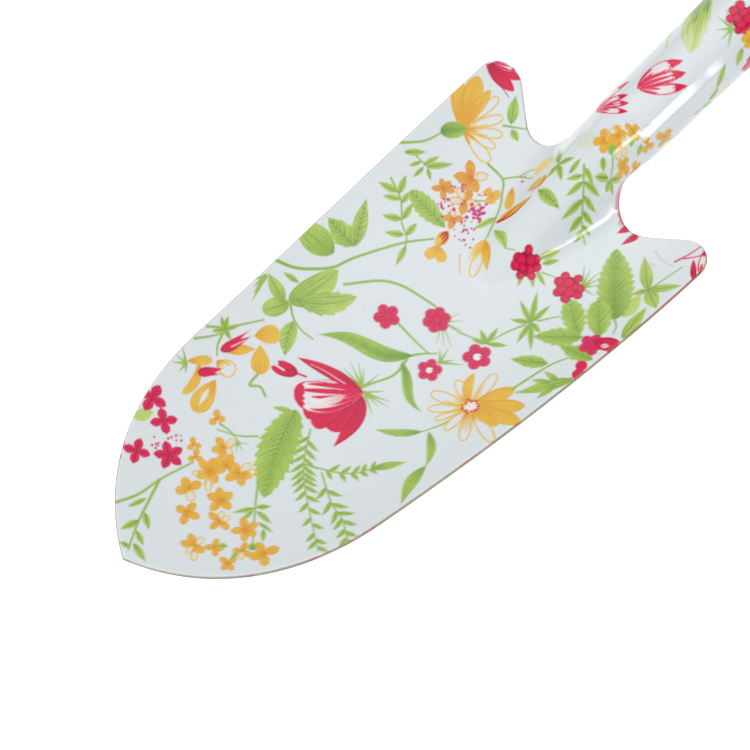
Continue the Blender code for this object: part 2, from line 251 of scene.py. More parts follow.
# ---------------------------------------------------------------- the fine mesh of the sheet
def blade_grid():
    """Points of the hollow face, a row at a time from the front edge to the back edge."""
    half = back_edge()
    base = np.linspace(-1, 1, NECK_STEPS + 1)[1:-1] * half[-1][0]
    middle = np.column_stack([base, np.full_like(base, BASE_Y)])
    back = np.concatenate([half * [-1, 1], middle, half[::-1]])
    ogive = evenly(front_edge(), len(back) // 2)
    front = np.concatenate([ogive[::-1] * [-1, 1], ogive[1:]])
    spread = np.linspace(-1, 1, len(back))
    t = np.linspace(0, 1, BLADE_STEPS + 1)[:, None, None]
    rows = (1 - t) * front + t * back
    bulge = (flank() - rows[:, -1])[:, None, :] * (np.abs(spread) ** 3)[None, :, None]
    rows += bulge * np.column_stack([np.sign(spread), np.ones_like(spread)])
    return np.dstack([rows, blade_height(rows[..., 0], rows[..., 1])])


def neck_grid():
    """Points of the neck's outer face beyond its base row, and each point's place in the print.

    The print lies flat on the blade, and is wrapped round the tube further up.
    """
    turns = np.linspace(0, math.pi / 2, NOTCH_STEPS + 1)[1:]
    socket = np.linspace(0, SOCKET_LENGTH, SOCKET_STEPS + 1)[1:]
    stations = np.concatenate([-NOTCH_RADIUS * np.cos(turns), socket])
    v = np.linspace(-1, 1, NECK_STEPS + 1)
    rows = np.array([neck_section(s, v) for s in stations])
    steps = np.linalg.norm(np.diff(rows, axis=1), axis=2)
    run = np.concatenate([np.zeros((len(rows), 1)), np.cumsum(steps, axis=1)], axis=1)
    on_tube = smooth((stations + NOTCH_RADIUS) / PRINT_BLEND)[:, None]
    across = on_tube * (run - run[:, -1:] / 2) + (1 - on_tube) * rows[..., 0]
    along = np.repeat((NECK_Y + stations)[:, None], len(v), axis=1)
    return rows, np.dstack([across, along])


def cells_of(ids):
    """Each 2 by 2 block of the grid's squares, as nine points: c0 m01 c1 m12 c2 m23 c3 m30 centre."""
    low, mid, high = ids[:-1:2], ids[1::2], ids[2::2]
    return np.stack([
        low[:, :-1:2], low[:, 1::2], low[:, 2::2], mid[:, 2::2],
        high[:, 2::2], high[:, 1::2], high[:, :-1:2], mid[:, :-1:2], mid[:, 1::2],
    ], axis=-1).reshape(-1, 9)


def fine_faces(cells):
    """The four squares of each cell."""
    corners = ((0, 1, 8, 7), (1, 2, 3, 8), (8, 3, 4, 5), (7, 8, 5, 6))
    return np.concatenate([cells[:, list(four)] for four in corners])


def wall_faces(cells, inner_id):
    """Three triangles for each open side of a cell, from the outer face round the rim to the inner one."""
    sides = np.concatenate([cells[:, [k, k + 1, (k + 2) % 8]] for k in (0, 2, 4, 6)])
    ends = np.sort(sides[:, [0, 2]], axis=1)
    _, index, count = np.unique(ends, axis=0, return_inverse=True, return_counts=True)
    a, m, b = sides[count[index.reshape(-1)] == 1].T
    inner_a, inner_b = inner_id[a], inner_id[b]
    return np.concatenate([
        np.column_stack([m, a, inner_a]),
        np.column_stack([m, inner_a, inner_b]),
        np.column_stack([b, m, inner_b]),
    ])


def vertex_normals(points, faces):
    a, b, c, d = (points[faces[:, k]] for k in range(4))
    face = np.cross(c - a, d - b)
    total = np.zeros_like(points)
    for k in range(4):
        for axis in range(3):
            total[:, axis] += np.bincount(faces[:, k], face[:, axis], len(points))
    return total / np.maximum(np.linalg.norm(total, axis=1, keepdims=True), 1e-12)


def rim_distance(points, outline, candidates):
    """Distance of each candidate point from the sheet's outline, and far for all the others."""
    found = np.full(len(points), 99.0)
    parts = 4
    tree = KDTree(len(outline) * parts)
    start = points[outline]
    ahead = np.roll(start, -1, axis=0)
    for k in range(parts):
        for p in start + (ahead - start) * k / parts:
            tree.insert(p, 0)
    tree.balance()
    for i in candidates:
        found[i] = tree.find(points[i])[2]
    return found


def rounding(distance):
    """How far the face falls away towards the rounded rim."""
    inside = np.clip(RIM_RADIUS - distance, 0, RIM_RADIUS)
    return RIM_RADIUS - np.sqrt(RIM_RADIUS**2 - inside**2)


def without_rivet_hole(cells, points, first_of_neck):
    """Drops the cells where the rivet passes through the socket's walls."""
    centre = points[cells[:, 8]]
    at = axis_point(SOCKET_LENGTH + RIVET_S)
    off = np.hypot(centre[:, 1] - at[1], centre[:, 2] - at[2])
    in_neck = cells[:, 8] >= first_of_neck
    return cells[~((off < RIVET_RADIUS + GAP) & (np.abs(centre[:, 0]) > 5) & in_neck)]


def sheet_parts():
    """Outer points, inner points, their places in the print, the distance from the rim, and the faces."""
    blade = blade_grid()
    neck, neck_places = neck_grid()
    blade_ids = np.arange(blade.shape[0] * blade.shape[1]).reshape(blade.shape[:2])
    new_ids = blade_ids.size + np.arange(neck.shape[0] * neck.shape[1]).reshape(neck.shape[:2])
    right = EAR_STEPS + NECK_STEPS
    neck_ids = np.concatenate([blade_ids[-1:, EAR_STEPS : right + 1], new_ids])
    points = np.concatenate([blade.reshape(-1, 3), neck.reshape(-1, 3)])
    places = np.concatenate([blade[..., :2].reshape(-1, 2), neck_places.reshape(-1, 2)])
    outline = np.concatenate([
        blade_ids[0], blade_ids[1:, -1], blade_ids[-1, right:-1][::-1],
        neck_ids[1:, -1], neck_ids[-1, :-1][::-1], neck_ids[1:-1, 0][::-1],
        blade_ids[-1, 1 : EAR_STEPS + 1][::-1], blade_ids[1:-1, 0][::-1],
    ])
    rings = RIM_RINGS
    near = np.unique(np.concatenate([part.reshape(-1) for part in (
        blade_ids[:rings], blade_ids[:, :rings], blade_ids[:, -rings:], neck_ids[:, :rings],
        neck_ids[:, -rings:], neck_ids[-rings:], blade_ids[-rings:, : EAR_STEPS + rings],
        blade_ids[-rings:, -EAR_STEPS - rings :],
    )]))
    cells = np.concatenate([cells_of(blade_ids), cells_of(neck_ids)])
    normals = vertex_normals(points, fine_faces(cells))
    cells = without_rivet_hole(cells, points, blade_ids.size)
    distance = rim_distance(points, outline, near)
    drop = rounding(distance)[:, None]
    corners = np.unique(cells[:, [0, 2, 4, 6]])
    inner_id = np.full(len(points), -1)
    inner_id[corners] = len(points) + np.arange(len(corners))
    outer = points - normals * drop
    inner = (points - normals * (SHEET - drop))[corners]
    squares = np.concatenate([fine_faces(cells), inner_id[cells[:, [0, 6, 4, 2]]]])
    return outer, inner, places, corners, distance, squares, wall_faces(cells, inner_id)


def rest_place(points):
    """Turns points from the tool's frame to the table, where the tool lies nose up."""
    c, s = math.cos(REST_PITCH), math.sin(REST_PITCH)
    return points @ np.array([[1, 0, 0], [0, c, -s], [0, s, c]])


def table_point(p):
    """A point of the tool's frame, in metres on the table."""
    return rest_place(np.asarray(p, float)) * MM + TABLE_SHIFT


def facing(centre, axes):
    """Placement at a point of the tool's frame, with these unit vectors as its local X, Y and Z."""
    turn = Matrix([list(row) for row in rest_place(np.array(axes)).T])
    return Matrix.Translation(Vector(table_point(centre))) @ turn.to_4x4()


def in_scene(name, data):
    made = bpy.data.objects.new(name, data)
    bpy.context.scene.collection.objects.link(made)
    return made


def mesh_from(name, points, squares, triangles):
    mesh = bpy.data.meshes.new(name)
    mesh.vertices.add(len(points))
    mesh.vertices.foreach_set("co", np.asarray(points, np.float32).reshape(-1))
    corners = np.concatenate([squares.reshape(-1), triangles.reshape(-1)])
    starts = np.concatenate([
        np.arange(len(squares)) * 4, len(squares) * 4 + np.arange(len(triangles)) * 3,
    ])
    mesh.loops.add(len(corners))
    mesh.loops.foreach_set("vertex_index", corners.astype(np.int32))
    mesh.polygons.add(len(starts))
    mesh.polygons.foreach_set("loop_start", starts.astype(np.int32))
    mesh.update(calc_edges=True)
    mesh.validate()
    mesh.shade_smooth()
    return mesh


def printed_sheet(look):
    outer, inner, places, corners, distance, squares, triangles = sheet_parts()
    used = np.unique(np.concatenate([squares.reshape(-1), triangles.reshape(-1)]))
    points = rest_place(np.concatenate([outer, inner]))
    low = np.array(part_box("blade_and_socket")[0]) / MM
    points += low - points[used].min(axis=0)
    behind = places[corners] * [-1, 1] + BACK_SHIFT
    colour = np.concatenate([painted(places, distance), painted(behind, distance[corners])])
    fresh = np.full(len(points), -1)
    fresh[used] = np.arange(len(used))
    mesh = mesh_from("blade_and_socket_printed", points[used] * MM, fresh[squares], fresh[triangles])
    layer = mesh.color_attributes.new(name="print", type="FLOAT_COLOR", domain="POINT")
    layer.data.foreach_set("color", np.column_stack([colour[used], np.ones(len(used))]).reshape(-1))
    mesh.materials.append(look)
    return in_scene("blade_and_socket_printed", mesh)


# ---------------------------------------------------------------- the print: paint and brushes
BACK_SHIFT = np.array([0.0, 9.0])
SOFT = 0.25
LINE = 0.15
LEAFLET_SPREAD = math.radians(50)


def linear(*srgb):
    """A colour given as 0 to 255 sRGB, in the renderer's linear values."""
    c = np.array(srgb) / 255
    return np.where(c <= 0.04045, c / 12.92, ((c + 0.055) / 1.055) ** 2.4)


ENAMEL = linear(224, 231, 234)
LEAF = linear(174, 204, 92)
PALE_LEAF = linear(198, 216, 122)
DARK_LEAF = linear(106, 148, 62)
STEM = linear(156, 190, 88)
YELLOW = linear(234, 192, 74)
PALE_YELLOW = linear(242, 222, 142)
ORANGE = linear(222, 142, 34)
CRIMSON = linear(222, 26, 78)
DARK_CRIMSON = linear(164, 12, 52)
RASPBERRY = linear(222, 40, 94)
MAGENTA = linear(204, 38, 112)
SCARLET = linear(196, 40, 32)
SPECK = linear(120, 126, 128)
PETAL_WHITE = linear(240, 236, 238)
RIM_PAINTS = np.array([
    linear(150, 120, 84), linear(176, 66, 58), linear(168, 150, 110), linear(138, 142, 96),
    linear(158, 128, 92),
])
NOTCH_RED = linear(158, 44, 58)
BLEED_RED = linear(216, 58, 70)

LEAF_SHAPE = (0.8, 1.1)
LANCE = (0.9, 1.25)
ROUND = (0.75, 0.4)
DROP = (0.95, 0.5)
POINTED = (0.9, 0.75)


def watery(at):
    """Slow, uneven tone from -1 to 1, like thin paint."""
    x, y = at[:, 0], at[:, 1]
    return np.sin(1.3 * x + 1.1 * np.sin(0.9 * y)) * np.sin(1.1 * y + 1.3 * np.sin(0.7 * x + 1.0))


def chance(k, seed):
    """A repeatable number from 0 to 1 for each whole number k."""
    return np.mod(np.sin(k * 12.9898 + seed * 78.233) * 43758.5453, 1.0)


class Art:
    """The colour of each point of the sheet, laid on motif by motif in the print's own mm."""

    def __init__(self, places):
        self.at = places
        self.x, self.y = np.ascontiguousarray(places[:, 0]), np.ascontiguousarray(places[:, 1])
        self.colour = np.tile(ENAMEL, (len(places), 1))
        self.tone = watery(places)

    def near(self, points, reach):
        low, high = np.min(points, axis=0) - reach, np.max(points, axis=0) + reach
        inside = (self.x > low[0]) & (self.x < high[0]) & (self.y > low[1]) & (self.y < high[1])
        return np.flatnonzero(inside)

    def lay(self, ids, cover, colour):
        cover = np.clip(cover, 0, 1)[:, None]
        self.colour[ids] += cover * (colour - self.colour[ids])


def edge(distance):
    """Cover of a shape at this distance inside its outline."""
    return np.clip(0.5 + distance / SOFT, 0, 1)


def petal_frame(art, base, tip, width, shape, bend, wave, teeth):
    """Where each nearby point lies in a petal: along it, across it, its half width, and how far inside."""
    base, tip = np.array(base, float), np.array(tip, float)
    length = np.linalg.norm(tip - base)
    along = (tip - base) / length
    ids = art.near([base, tip], width * 0.65 + (abs(bend) + abs(wave)) * length + 0.5)
    off = art.at[ids] - base
    u = off @ along / length
    middle = length * (bend * 4 * u * (1 - u) + wave * np.sin(2 * math.pi * u))
    v = off @ [-along[1], along[0]] - middle
    t = np.clip(u, 0.002, 0.998)
    a, b = shape
    peak = a / (a + b)
    full = t**a * (1 - t) ** b / (peak**a * (1 - peak) ** b)
    half = width / 2 * full
    slope = half * (a / t - b / (1 - t)) / length
    if teeth:
        half = half * (1 + 0.22 * (np.mod(t * teeth + 0.3 * (v > 0), 1) - 0.6))
    inside = (half - np.abs(v)) / np.sqrt(1 + slope**2)
    inside = np.minimum(inside, np.minimum(u, 1 - u) * length + 0.1)
    return ids, u, v, half, inside, length


def side_veins(u, v, half, length, spacing):
    """Ink of slanting veins that leave the rib on both sides, each of its own length."""
    w = (u * length - 1.2 * np.abs(v) + 0.3 * np.sin(1.5 * v + 11 * u)) / spacing
    line = np.round(w)
    reach = half * (0.5 + 0.5 * chance(line + 31 * (v > 0), 3))
    fade = np.clip(1.35 - np.abs(v) / np.maximum(reach, 0.05), 0, 1)
    return edge(LINE - np.abs(w - line) * spacing * 0.64) * fade


def long_veins(u, v, half, count):
    """Ink of lines that run along the petal from its base, each of its own length."""
    w = v / np.maximum(half, 0.05) * count / 2
    line = np.round(w)
    fade = np.clip(4 * (0.5 + 0.5 * chance(line, 7) - u), 0, 1)
    return edge(LINE - np.abs(w - line) * 2 * half / count) * fade


def petal(art, base, tip, width, light, dark, shape=LEAF_SHAPE, bend=0.0, wave=0.0, teeth=0, rib=0.0,
          veins=0.0, fan=0, shade=0.25, rim=0.0):
    """A leaf or petal from base to tip: a thin wash, darker at its base, with inked veins and rim."""
    ids, u, v, half, inside, length = petal_frame(art, base, tip, width, shape, bend, wave, teeth)
    mix = shade * (0.7 * np.exp(-((v / (0.25 * width)) ** 2)) + 0.7 * (1 - u) ** 2)
    mix = np.clip(mix + 0.08 * art.tone[ids] + 0.06 * (v > 0), 0, 1)
    if veins:
        mix = np.maximum(mix, 0.85 * side_veins(u, v, half, length, veins))
    if fan:
        mix = np.maximum(mix, 0.8 * long_veins(u, v, half, fan))
    if rib:
        mix = np.maximum(mix, edge(rib - np.abs(v)) * np.clip(1.4 - u, 0, 1))
    if light is not None:
        art.lay(ids, edge(inside), light + mix[:, None] * (dark - light))
    if rim:
        art.lay(ids, edge(rim / 2 - np.abs(inside - rim / 2)), dark)


def streaks(art, base, tip, width, colour, count, reach, shape=LEAF_SHAPE, bend=0.0, seed=1):
    """Feathered lines that start together at the base of a petal and thin out along it."""
    ids, u, v, half, inside, _ = petal_frame(art, base, tip, width, shape, bend, 0.0, 0)
    w = v / np.maximum(half, 0.05) * count / 2
    line = np.round(w)
    end = reach * (0.5 + 0.5 * chance(line, seed))
    room = 2 * half / count
    thick = 0.6 * room * np.clip(1 - u / end, 0, 1) ** 0.5
    cover = edge(thick - np.abs(w - line) * room) * (u < end) * edge(inside)
    art.lay(ids, cover, colour)


def smooth_path(points):
    """A smooth curve through all of the points."""
    p = np.array(points, float)
    return spline(np.concatenate([[2 * p[0] - p[1]], p, [2 * p[-1] - p[-2]]]), 8)


def stroke(art, points, width, colour=STEM, taper=0.6, dark=0.0):
    """A brush line through the points, thinner by taper at its end."""
    path = smooth_path(points)
    ids = art.near(path, width)
    at = art.at[ids]
    inside = np.full(len(ids), -9.0)
    for i, (a, b) in enumerate(zip(path, path[1:])):
        span = b - a
        k = np.clip((at - a) @ span / max(span @ span, 1e-9), 0, 1)
        gone = (i + k) / (len(path) - 1)
        away = np.linalg.norm(at - a - k[:, None] * span, axis=1)
        inside = np.maximum(inside, width / 2 * (1 - gone * (1 - taper)) - away)
    art.lay(ids, edge(inside), colour)
    if dark:
        art.lay(ids, edge(inside - 0.3 * width) * dark, DARK_LEAF)


def disc(art, centre, radius, colour, strength=1.0):
    ids = art.near([centre], radius + SOFT)
    away = np.linalg.norm(art.at[ids] - centre, axis=1)
    art.lay(ids, edge(radius - away) * strength, colour)


def dots(art, centre, spread, count, size, colour, seed):
    draw = np.random.default_rng(seed)
    for _ in range(count):
        disc(art, np.array(centre) + draw.normal(0, spread, 2), size * draw.uniform(0.7, 1.3), colour)


# ---------------------------------------------------------------- the print: motifs
def leaf(art, base, tip, width, **more):
    more.setdefault("rib", 0.14)
    if width > 2.6 and not more.get("fan"):
        more.setdefault("veins", 1.1)
    pale = chance(7 * base[0] + 3 * base[1], 2) * 0.6
    petal(art, base, tip, width, LEAF + pale * (PALE_LEAF - LEAF), DARK_LEAF, **more)


def blade_leaf(art, base, tip, width, **more):
    """A narrow leaf with long lines in it."""
    petal(art, base, tip, width, LEAF, DARK_LEAF, shape=LANCE, fan=4, **more)


def leaves(art, rows, **more):
    for base, tip, width in rows:
        leaf(art, base, tip, width, **more)


def hairs(art, centre, tips, width=0.55):
    for tip in tips:
        stroke(art, [centre, tip], width, taper=0.15)


def star_leaf(art, centre, tips, width=1.5):
    for tip in tips:
        petal(art, centre, tip, width, LEAF, DARK_LEAF, shape=LANCE, rib=0.12, shade=0.4)


def fern(art, points, size, count, start=0.12, width=1.25):
    """Leaflets in pairs along a stem."""
    stroke(art, points, 0.55)
    path = smooth_path(points)
    for k in range(count):
        at = start + (1 - start) * k / max(count - 1, 1)
        i = min(int(at * (len(path) - 1)), len(path) - 2)
        ahead = path[i + 1] - path[i]
        course = math.atan2(ahead[1], ahead[0])
        for side in (-1, 1):
            lean = course + side * LEAFLET_SPREAD
            long = size * (0.75 + 0.25 * math.sin(math.pi * min(at + 0.15, 1)))
            root = path[i] + ahead * 0.4 * side
            tip = polar(root, long, lean)
            petal(art, root, tip, width, LEAF, DARK_LEAF, shape=LANCE, rib=0.1, shade=0.3, bend=-0.06 * side)


def blossom(art, centre, radius, petals=5, turn=0.0, light=YELLOW, dark=ORANGE, shape=ROUND, width=0.74):
    """An open flower seen from above, now and then with a petal left as an outline."""
    for k in range(petals):
        angle = math.radians(turn + 360 * k / petals + 14 * math.sin(5 * k + centre[0]))
        far = radius * (0.86 + 0.2 * chance(k, centre[0]))
        tip = polar(centre, far, angle)
        wide = width * radius * (5 / petals) ** 0.5
        if chance(k + 3 * centre[1], 4) < 0.2 and radius > 2.4:
            petal(art, centre, tip, wide, ENAMEL, light, shape=shape, rim=0.34, fan=3)
        else:
            petal(art, centre, tip, wide, light, dark, shape=shape, shade=0.4, fan=4)
            petal(art, centre, tip, wide, None, (light + 2 * dark) / 3, shape=shape, rim=0.2)
    disc(art, centre, 0.12 * radius, dark)


def raspberry_flower(art, centre, radius, petals=5, turn=0.0, ring=False):
    """Round raspberry petals with a darker rim."""
    for k in range(petals):
        angle = math.radians(turn + 360 * k / petals)
        at = polar(centre, 0.6 * radius, angle)
        disc(art, at, 0.44 * radius, DARK_CRIMSON, 0.7)
        disc(art, at, 0.44 * radius - 0.2, RASPBERRY)
        tip = polar(centre, 0.85 * radius, angle)
        stroke(art, [centre, tip], 0.26, DARK_CRIMSON, taper=0.3)
    disc(art, centre, 0.3 * radius, DARK_CRIMSON, 0.7)
    disc(art, centre, 0.3 * radius - 0.18, PETAL_WHITE if ring else RASPBERRY)
    if ring:
        disc(art, centre, 0.3 * radius - 0.1, linear(244, 240, 241), 0.8)
        dots(art, np.array(centre) + 0.25 * radius, 0.2 * radius, 7, 0.15, CRIMSON, 3)


def four_petals(art, centre, radius, turn, petals=4):
    """A small raspberry flower with pointed petals."""
    for k in range(petals):
        angle = math.radians(turn + 360 * k / petals)
        tip = polar(centre, radius, angle)
        petal(art, centre, tip, 0.7 * radius * (4 / petals) ** 0.4, RASPBERRY, DARK_CRIMSON, shape=POINTED,
              rib=0.13, shade=0.1)
    disc(art, centre, 0.2, DARK_CRIMSON)


def berry(art, centre, radius, seed):
    """A loose cluster of round drupelets."""
    draw = np.random.default_rng(seed)
    disc(art, centre, 0.7 * radius, DARK_CRIMSON)
    for count, reach in ((7, 0.72), (4, 0.34)):
        start = draw.uniform(0, 360)
        for k in range(count):
            angle = math.radians(start + 360 * k / count + draw.uniform(-12, 12))
            far = radius * reach * draw.uniform(0.85, 1.15)
            at = polar(centre, far, angle)
            size = radius * draw.uniform(0.26, 0.33)
            disc(art, at, size, DARK_CRIMSON)
            disc(art, at, size - 0.24, CRIMSON)
            disc(art, at + 0.07 * radius, 0.09 * radius, RASPBERRY)


def feathered(art, base, tip, width, seed=1, shape=(0.6, 0.7), bend=0.0, count=5, tips=0.3, reach=1.2):
    """A white petal with crimson feathering from its base and at its tip."""
    light, blush = linear(238, 234, 237), linear(238, 206, 217)
    petal(art, base, tip, width, light, blush, shape=shape, bend=bend, shade=0.2)
    petal(art, base, tip, width, None, CRIMSON, shape=shape, bend=bend, rim=0.3)
    streaks(art, base, tip, width, CRIMSON, count, reach, shape=shape, bend=bend, seed=seed)
    if tips:
        petal_tip(art, base, tip, width, shape, bend, tips)


def petal_tip(art, base, tip, width, shape, bend, reach):
    """Crimson over the last part of a petal, its inner border ragged."""
    ids, u, v, half, inside, _ = petal_frame(art, base, tip, width, shape, bend, 0.0, 0)
    ragged = 0.5 * reach * np.abs(np.mod(v / np.maximum(half, 0.1) * 2.5, 1) - 0.5)
    art.lay(ids, edge(inside) * edge((u - 1 + reach - ragged) * 12), CRIMSON)


def solid_crimson(art, base, tip, width, shape=(0.6, 0.6), bend=0.0):
    petal(art, base, tip, width, CRIMSON, DARK_CRIMSON, shape=shape, bend=bend, fan=5, shade=0.08)


def yellow_petal(art, base, tip, width, shape=ROUND, **more):
    more.setdefault("fan", 4)
    petal(art, base, tip, width, YELLOW, ORANGE, shape=shape, shade=0.16, **more)
    more.pop("fan")
    petal(art, base, tip, width, None, (YELLOW + ORANGE) / 2, shape=shape, rim=0.16, **more)


def open_petal(art, base, tip, width, shape=ROUND, seed=1):
    """Only the outline of a yellow petal, with a few strokes from its base."""
    petal(art, base, tip, width, None, YELLOW, shape=shape, rim=0.42)
    streaks(art, base, tip, width, YELLOW, 4, 0.75, shape=shape, seed=seed)
    streaks(art, base, tip, width, ORANGE, 3, 0.4, shape=shape, seed=seed + 3)


# ---------------------------------------------------------------- the print: layout
# The motifs stand where the photograph's print has them. Their points were read off crops of it, turned into
# mm on the sheet by a scratch program and typed in here, and many were then moved after looking at renders.
def draw_tip(art):
    stroke(art, [(-34, 56), (-31, 60), (-27, 68.5)], 0.8)
    stroke(art, [(-33.5, 51.5), (-31.5, 55.5), (-30, 59.5)], 0.7)
    stroke(art, [(-31, 59), (-29, 55), (-27, 53)], 0.7)
    star_leaf(art, (-31, 59), [(-34, 60.5), (-32.5, 56), (-28, 58.5), (-29.5, 62.5), (-33, 62)], 1.3)
    yellow_petal(art, (-27, 55.5), (-22.5, 62), 2.8, shape=LANCE, fan=6)
    petal(art, (-27.4, 54.6), (-25.6, 63.5), 2.6, CRIMSON, DARK_CRIMSON, shape=(0.6, 1.6), fan=3, shade=0.1)
    petal(art, (-27.6, 54.8), (-27, 64.5), 1.6, CRIMSON, DARK_CRIMSON, shape=(0.6, 1.8), shade=0.1)
    stroke(art, [(-26.6, 57.5), (-25.8, 61.5)], 0.3, linear(240, 232, 236), taper=0.4)
    yellow_petal(art, (-25.2, 64), (-22, 69.2), 4.8)
    stroke(art, [(-17.4, 58.6), (-16.4, 54.5), (-14.4, 56.2), (-11.7, 55.6)], 0.75, taper=0.9)
    yellow_petal(art, (-17, 58.5), (-22.6, 63.4), 4.6, shape=(0.5, 0.95))
    hairs(art, (-30, 45.5), [(-33.5, 47.5), (-33, 45), (-32.3, 43), (-29.5, 42.8), (-28.2, 43.8)], 0.9)
    yellow_petal(art, (-28.5, 48.5), (-24.5, 40), 2.3, bend=0.12)
    yellow_petal(art, (-30.2, 46.3), (-27, 51.2), 2.4)
    open_petal(art, (-26, 52), (-21, 53.5), 4.6, seed=4)
    petal(art, (-26.4, 46.2), (-23.6, 52.2), 2.6, CRIMSON, DARK_CRIMSON, shape=(0.6, 1.5), fan=3, shade=0.1)
    petal(art, (-26.2, 46.6), (-22.6, 50.8), 1.4, CRIMSON, DARK_CRIMSON, shape=(0.6, 1.6), shade=0.1)
    yellow_petal(art, (-22.5, 48.6), (-19.4, 39.2), 5.2, shape=(0.9, 0.45))
    petal(art, (-21.8, 45.8), (-20, 41), 1.2, ENAMEL, PALE_YELLOW)
    petal(art, (-27, 26), (-25.3, 31), 3.2, PALE_LEAF, LEAF)
    for x, y, radius, turn, petals in (
        (-28.2, 33, 3.8, 20, 4), (-22, 31.4, 3.4, 62, 4), (-20, 21, 3.4, 35, 4), (-24, 17, 3.2, 80, 4),
        (-14.4, 26.6, 3.8, 10, 5),
    ):
        four_petals(art, (x, y), radius, turn, petals)
    dots(art, (-18.4, 25.3), 1.0, 7, 0.28, RASPBERRY, 11)
    dots(art, (-17.3, 30.6), 1.0, 8, 0.28, RASPBERRY, 12)
    stroke(art, [(-13, 7), (-11, 14), (-10.8, 21), (-9.4, 30)], 0.85)
    stroke(art, [(-10.8, 20.5), (-6.5, 11.5), (-4, 7), (-1, 2.5)], 0.8)
    leaves(art, (
        ((-9, 14.6), (-10, 9.6), 1.5), ((-6.3, 12), (-2, 9.8), 1.9), ((-5.5, 9.6), (-6.4, 4.4), 1.9),
        ((-3.8, 7.3), (0.6, 6), 1.7), ((-1.6, 4.6), (4.2, 3.6), 2.0), ((-1.3, 3.2), (-4, 2.2), 1.5),
    ), shape=LANCE)


def draw_yellow_cluster(art):
    stroke(art, [(-13.2, 41.9), (-10, 42.6), (-6.2, 42.3)], 0.6)
    stroke(art, [(-4.7, 47), (-7.6, 43.6), (-12.3, 40.4)], 0.6)
    hairs(art, (-6.5, 42), [(-3.6, 41.4), (-4.4, 43.8), (-6.4, 38.8), (-8.6, 41), (-4.8, 40)])
    stroke(art, [(4.8, 39), (9.5, 34), (18, 25.8)], 0.75)
    leaves(art, (
        ((10, 33.4), (7.3, 28.4), 1.5), ((10, 33.8), (12.4, 36.8), 1.5), ((11, 33.2), (16.2, 33.6), 1.6),
        ((10.2, 32.6), (10.6, 28.8), 1.4), ((13.6, 31.4), (18.4, 32.2), 1.2), ((16, 31), (18.7, 28.6), 1.5),
    ), shape=LANCE)
    for x, y, radius, petals, turn in (
        (-14.7, 42.2, 2.3, 3, 150), (-13, 33.2, 1.9, 3, 40), (-10.2, 31.4, 2.1, 3, 250),
        (-7.7, 38.6, 3.4, 5, 20), (-4.9, 31.7, 3.9, 5, 50), (-3.6, 35.8, 3.4, 4, 10), (0, 36.8, 3.8, 5, 33),
        (-4.4, 24.7, 3.6, 4, 70), (2.9, 28.6, 3.8, 5, 0), (0.1, 19.9, 3.2, 4, 25), (7, 24.6, 3.2, 5, 60),
        (13, 27.6, 3.4, 5, 15),
        (8.3, 15.6, 3.4, 5, 80), (11.9, 18.8, 2.5, 4, 45), (17.5, 18.4, 2.5, 4, 0), (17.2, 23.2, 2.6, 4, 30),
        (21.4, 26.6, 3.8, 4, 65),
    ):
        blossom(art, (x, y), radius, petals, turn, shape=(0.85, 0.6), width=0.6)
    open_petal(art, (-4.6, 31.2), (-1.2, 27.8), 2.2, seed=8)
    open_petal(art, (-4.6, 31.2), (-7.2, 28), 1.8, seed=9)
    open_petal(art, (0.4, 36.8), (2.6, 40.6), 2.0, seed=3)
    open_petal(art, (8.6, 15.4), (11.6, 12.6), 1.8, seed=5)
    leaf(art, (13.6, 21.4), (11.9, 19.6), 1.6)
    leaf(art, (16.6, 21.8), (17.4, 19.6), 1.5)
    disc(art, (18, 25.8), 1.05, STEM)
    disc(art, (18.2, 25.6), 0.6, DARK_LEAF, 0.6)


def draw_tulip(art):
    for centre, tips in (
        ((2.2, 75.6), [
            (-5, 78), (-4.9, 75.6), (-5.7, 74.3), (4, 80.2), (2.4, 81.2), (-1.5, 79.5), (-3.4, 79.4),
        ]),
        ((3.6, 75), [(9.8, 72.3), (10.3, 78), (10.9, 76.6), (6.9, 79), (9, 75), (8.6, 77.2)]),
    ):
        hairs(art, centre, tips, 0.75)
    solid_crimson(art, (3.6, 74), (9.9, 59.0), 4.8, shape=(0.6, 1.1), bend=0.09)
    for tip, width, tail, bend in (
        ((5.6, 61.6), 6.0, 0.35, 0), ((2.0, 59.4), 5.0, 0.3, 0), ((-1.8, 59.8), 5.4, 0.3, -0.04),
        ((-4.6, 60.6), 4.4, 0.4, -0.06),
    ):
        solid_crimson(art, (3.4, 74.2), tip, width, shape=(0.8, tail), bend=bend)
    feathered(art, (3.5, 74.6), (-7.6, 61.6), 8.8, seed=3, shape=(0.75, 0.4), bend=0.06, count=5, tips=0.16)
    petal(art, (1.2, 71.6), (-4.6, 62), 2.3, PETAL_WHITE, CRIMSON, bend=0.1, fan=3, shade=0)
    solid_crimson(art, (3.5, 74.8), (-14.4, 68.6), 3.2, shape=(0.7, 0.9), bend=-0.04)
    streaks(art, (3.2, 74.4), (-8.4, 65.8), 3.6, CRIMSON, 4, 0.9, bend=-0.02, seed=5)
    stroke(art, [(-1.5, 73), (-7, 71.6), (-11, 70)], 0.3, linear(240, 200, 212), taper=0.2)
    stroke(art, [(-11.4, 65.7), (-9.2, 66.9)], 0.6, CRIMSON, taper=0.9)
    solid_crimson(art, (-11.2, 65.7), (-16.6, 61.8), 3.2, shape=(0.5, 0.6))
    solid_crimson(art, (-11.6, 66), (-16.8, 64.2), 2.2, shape=(0.5, 0.6))
    stroke(art, [(-14, 63.8), (-16.4, 63)], 0.4, PETAL_WHITE, taper=1.0)


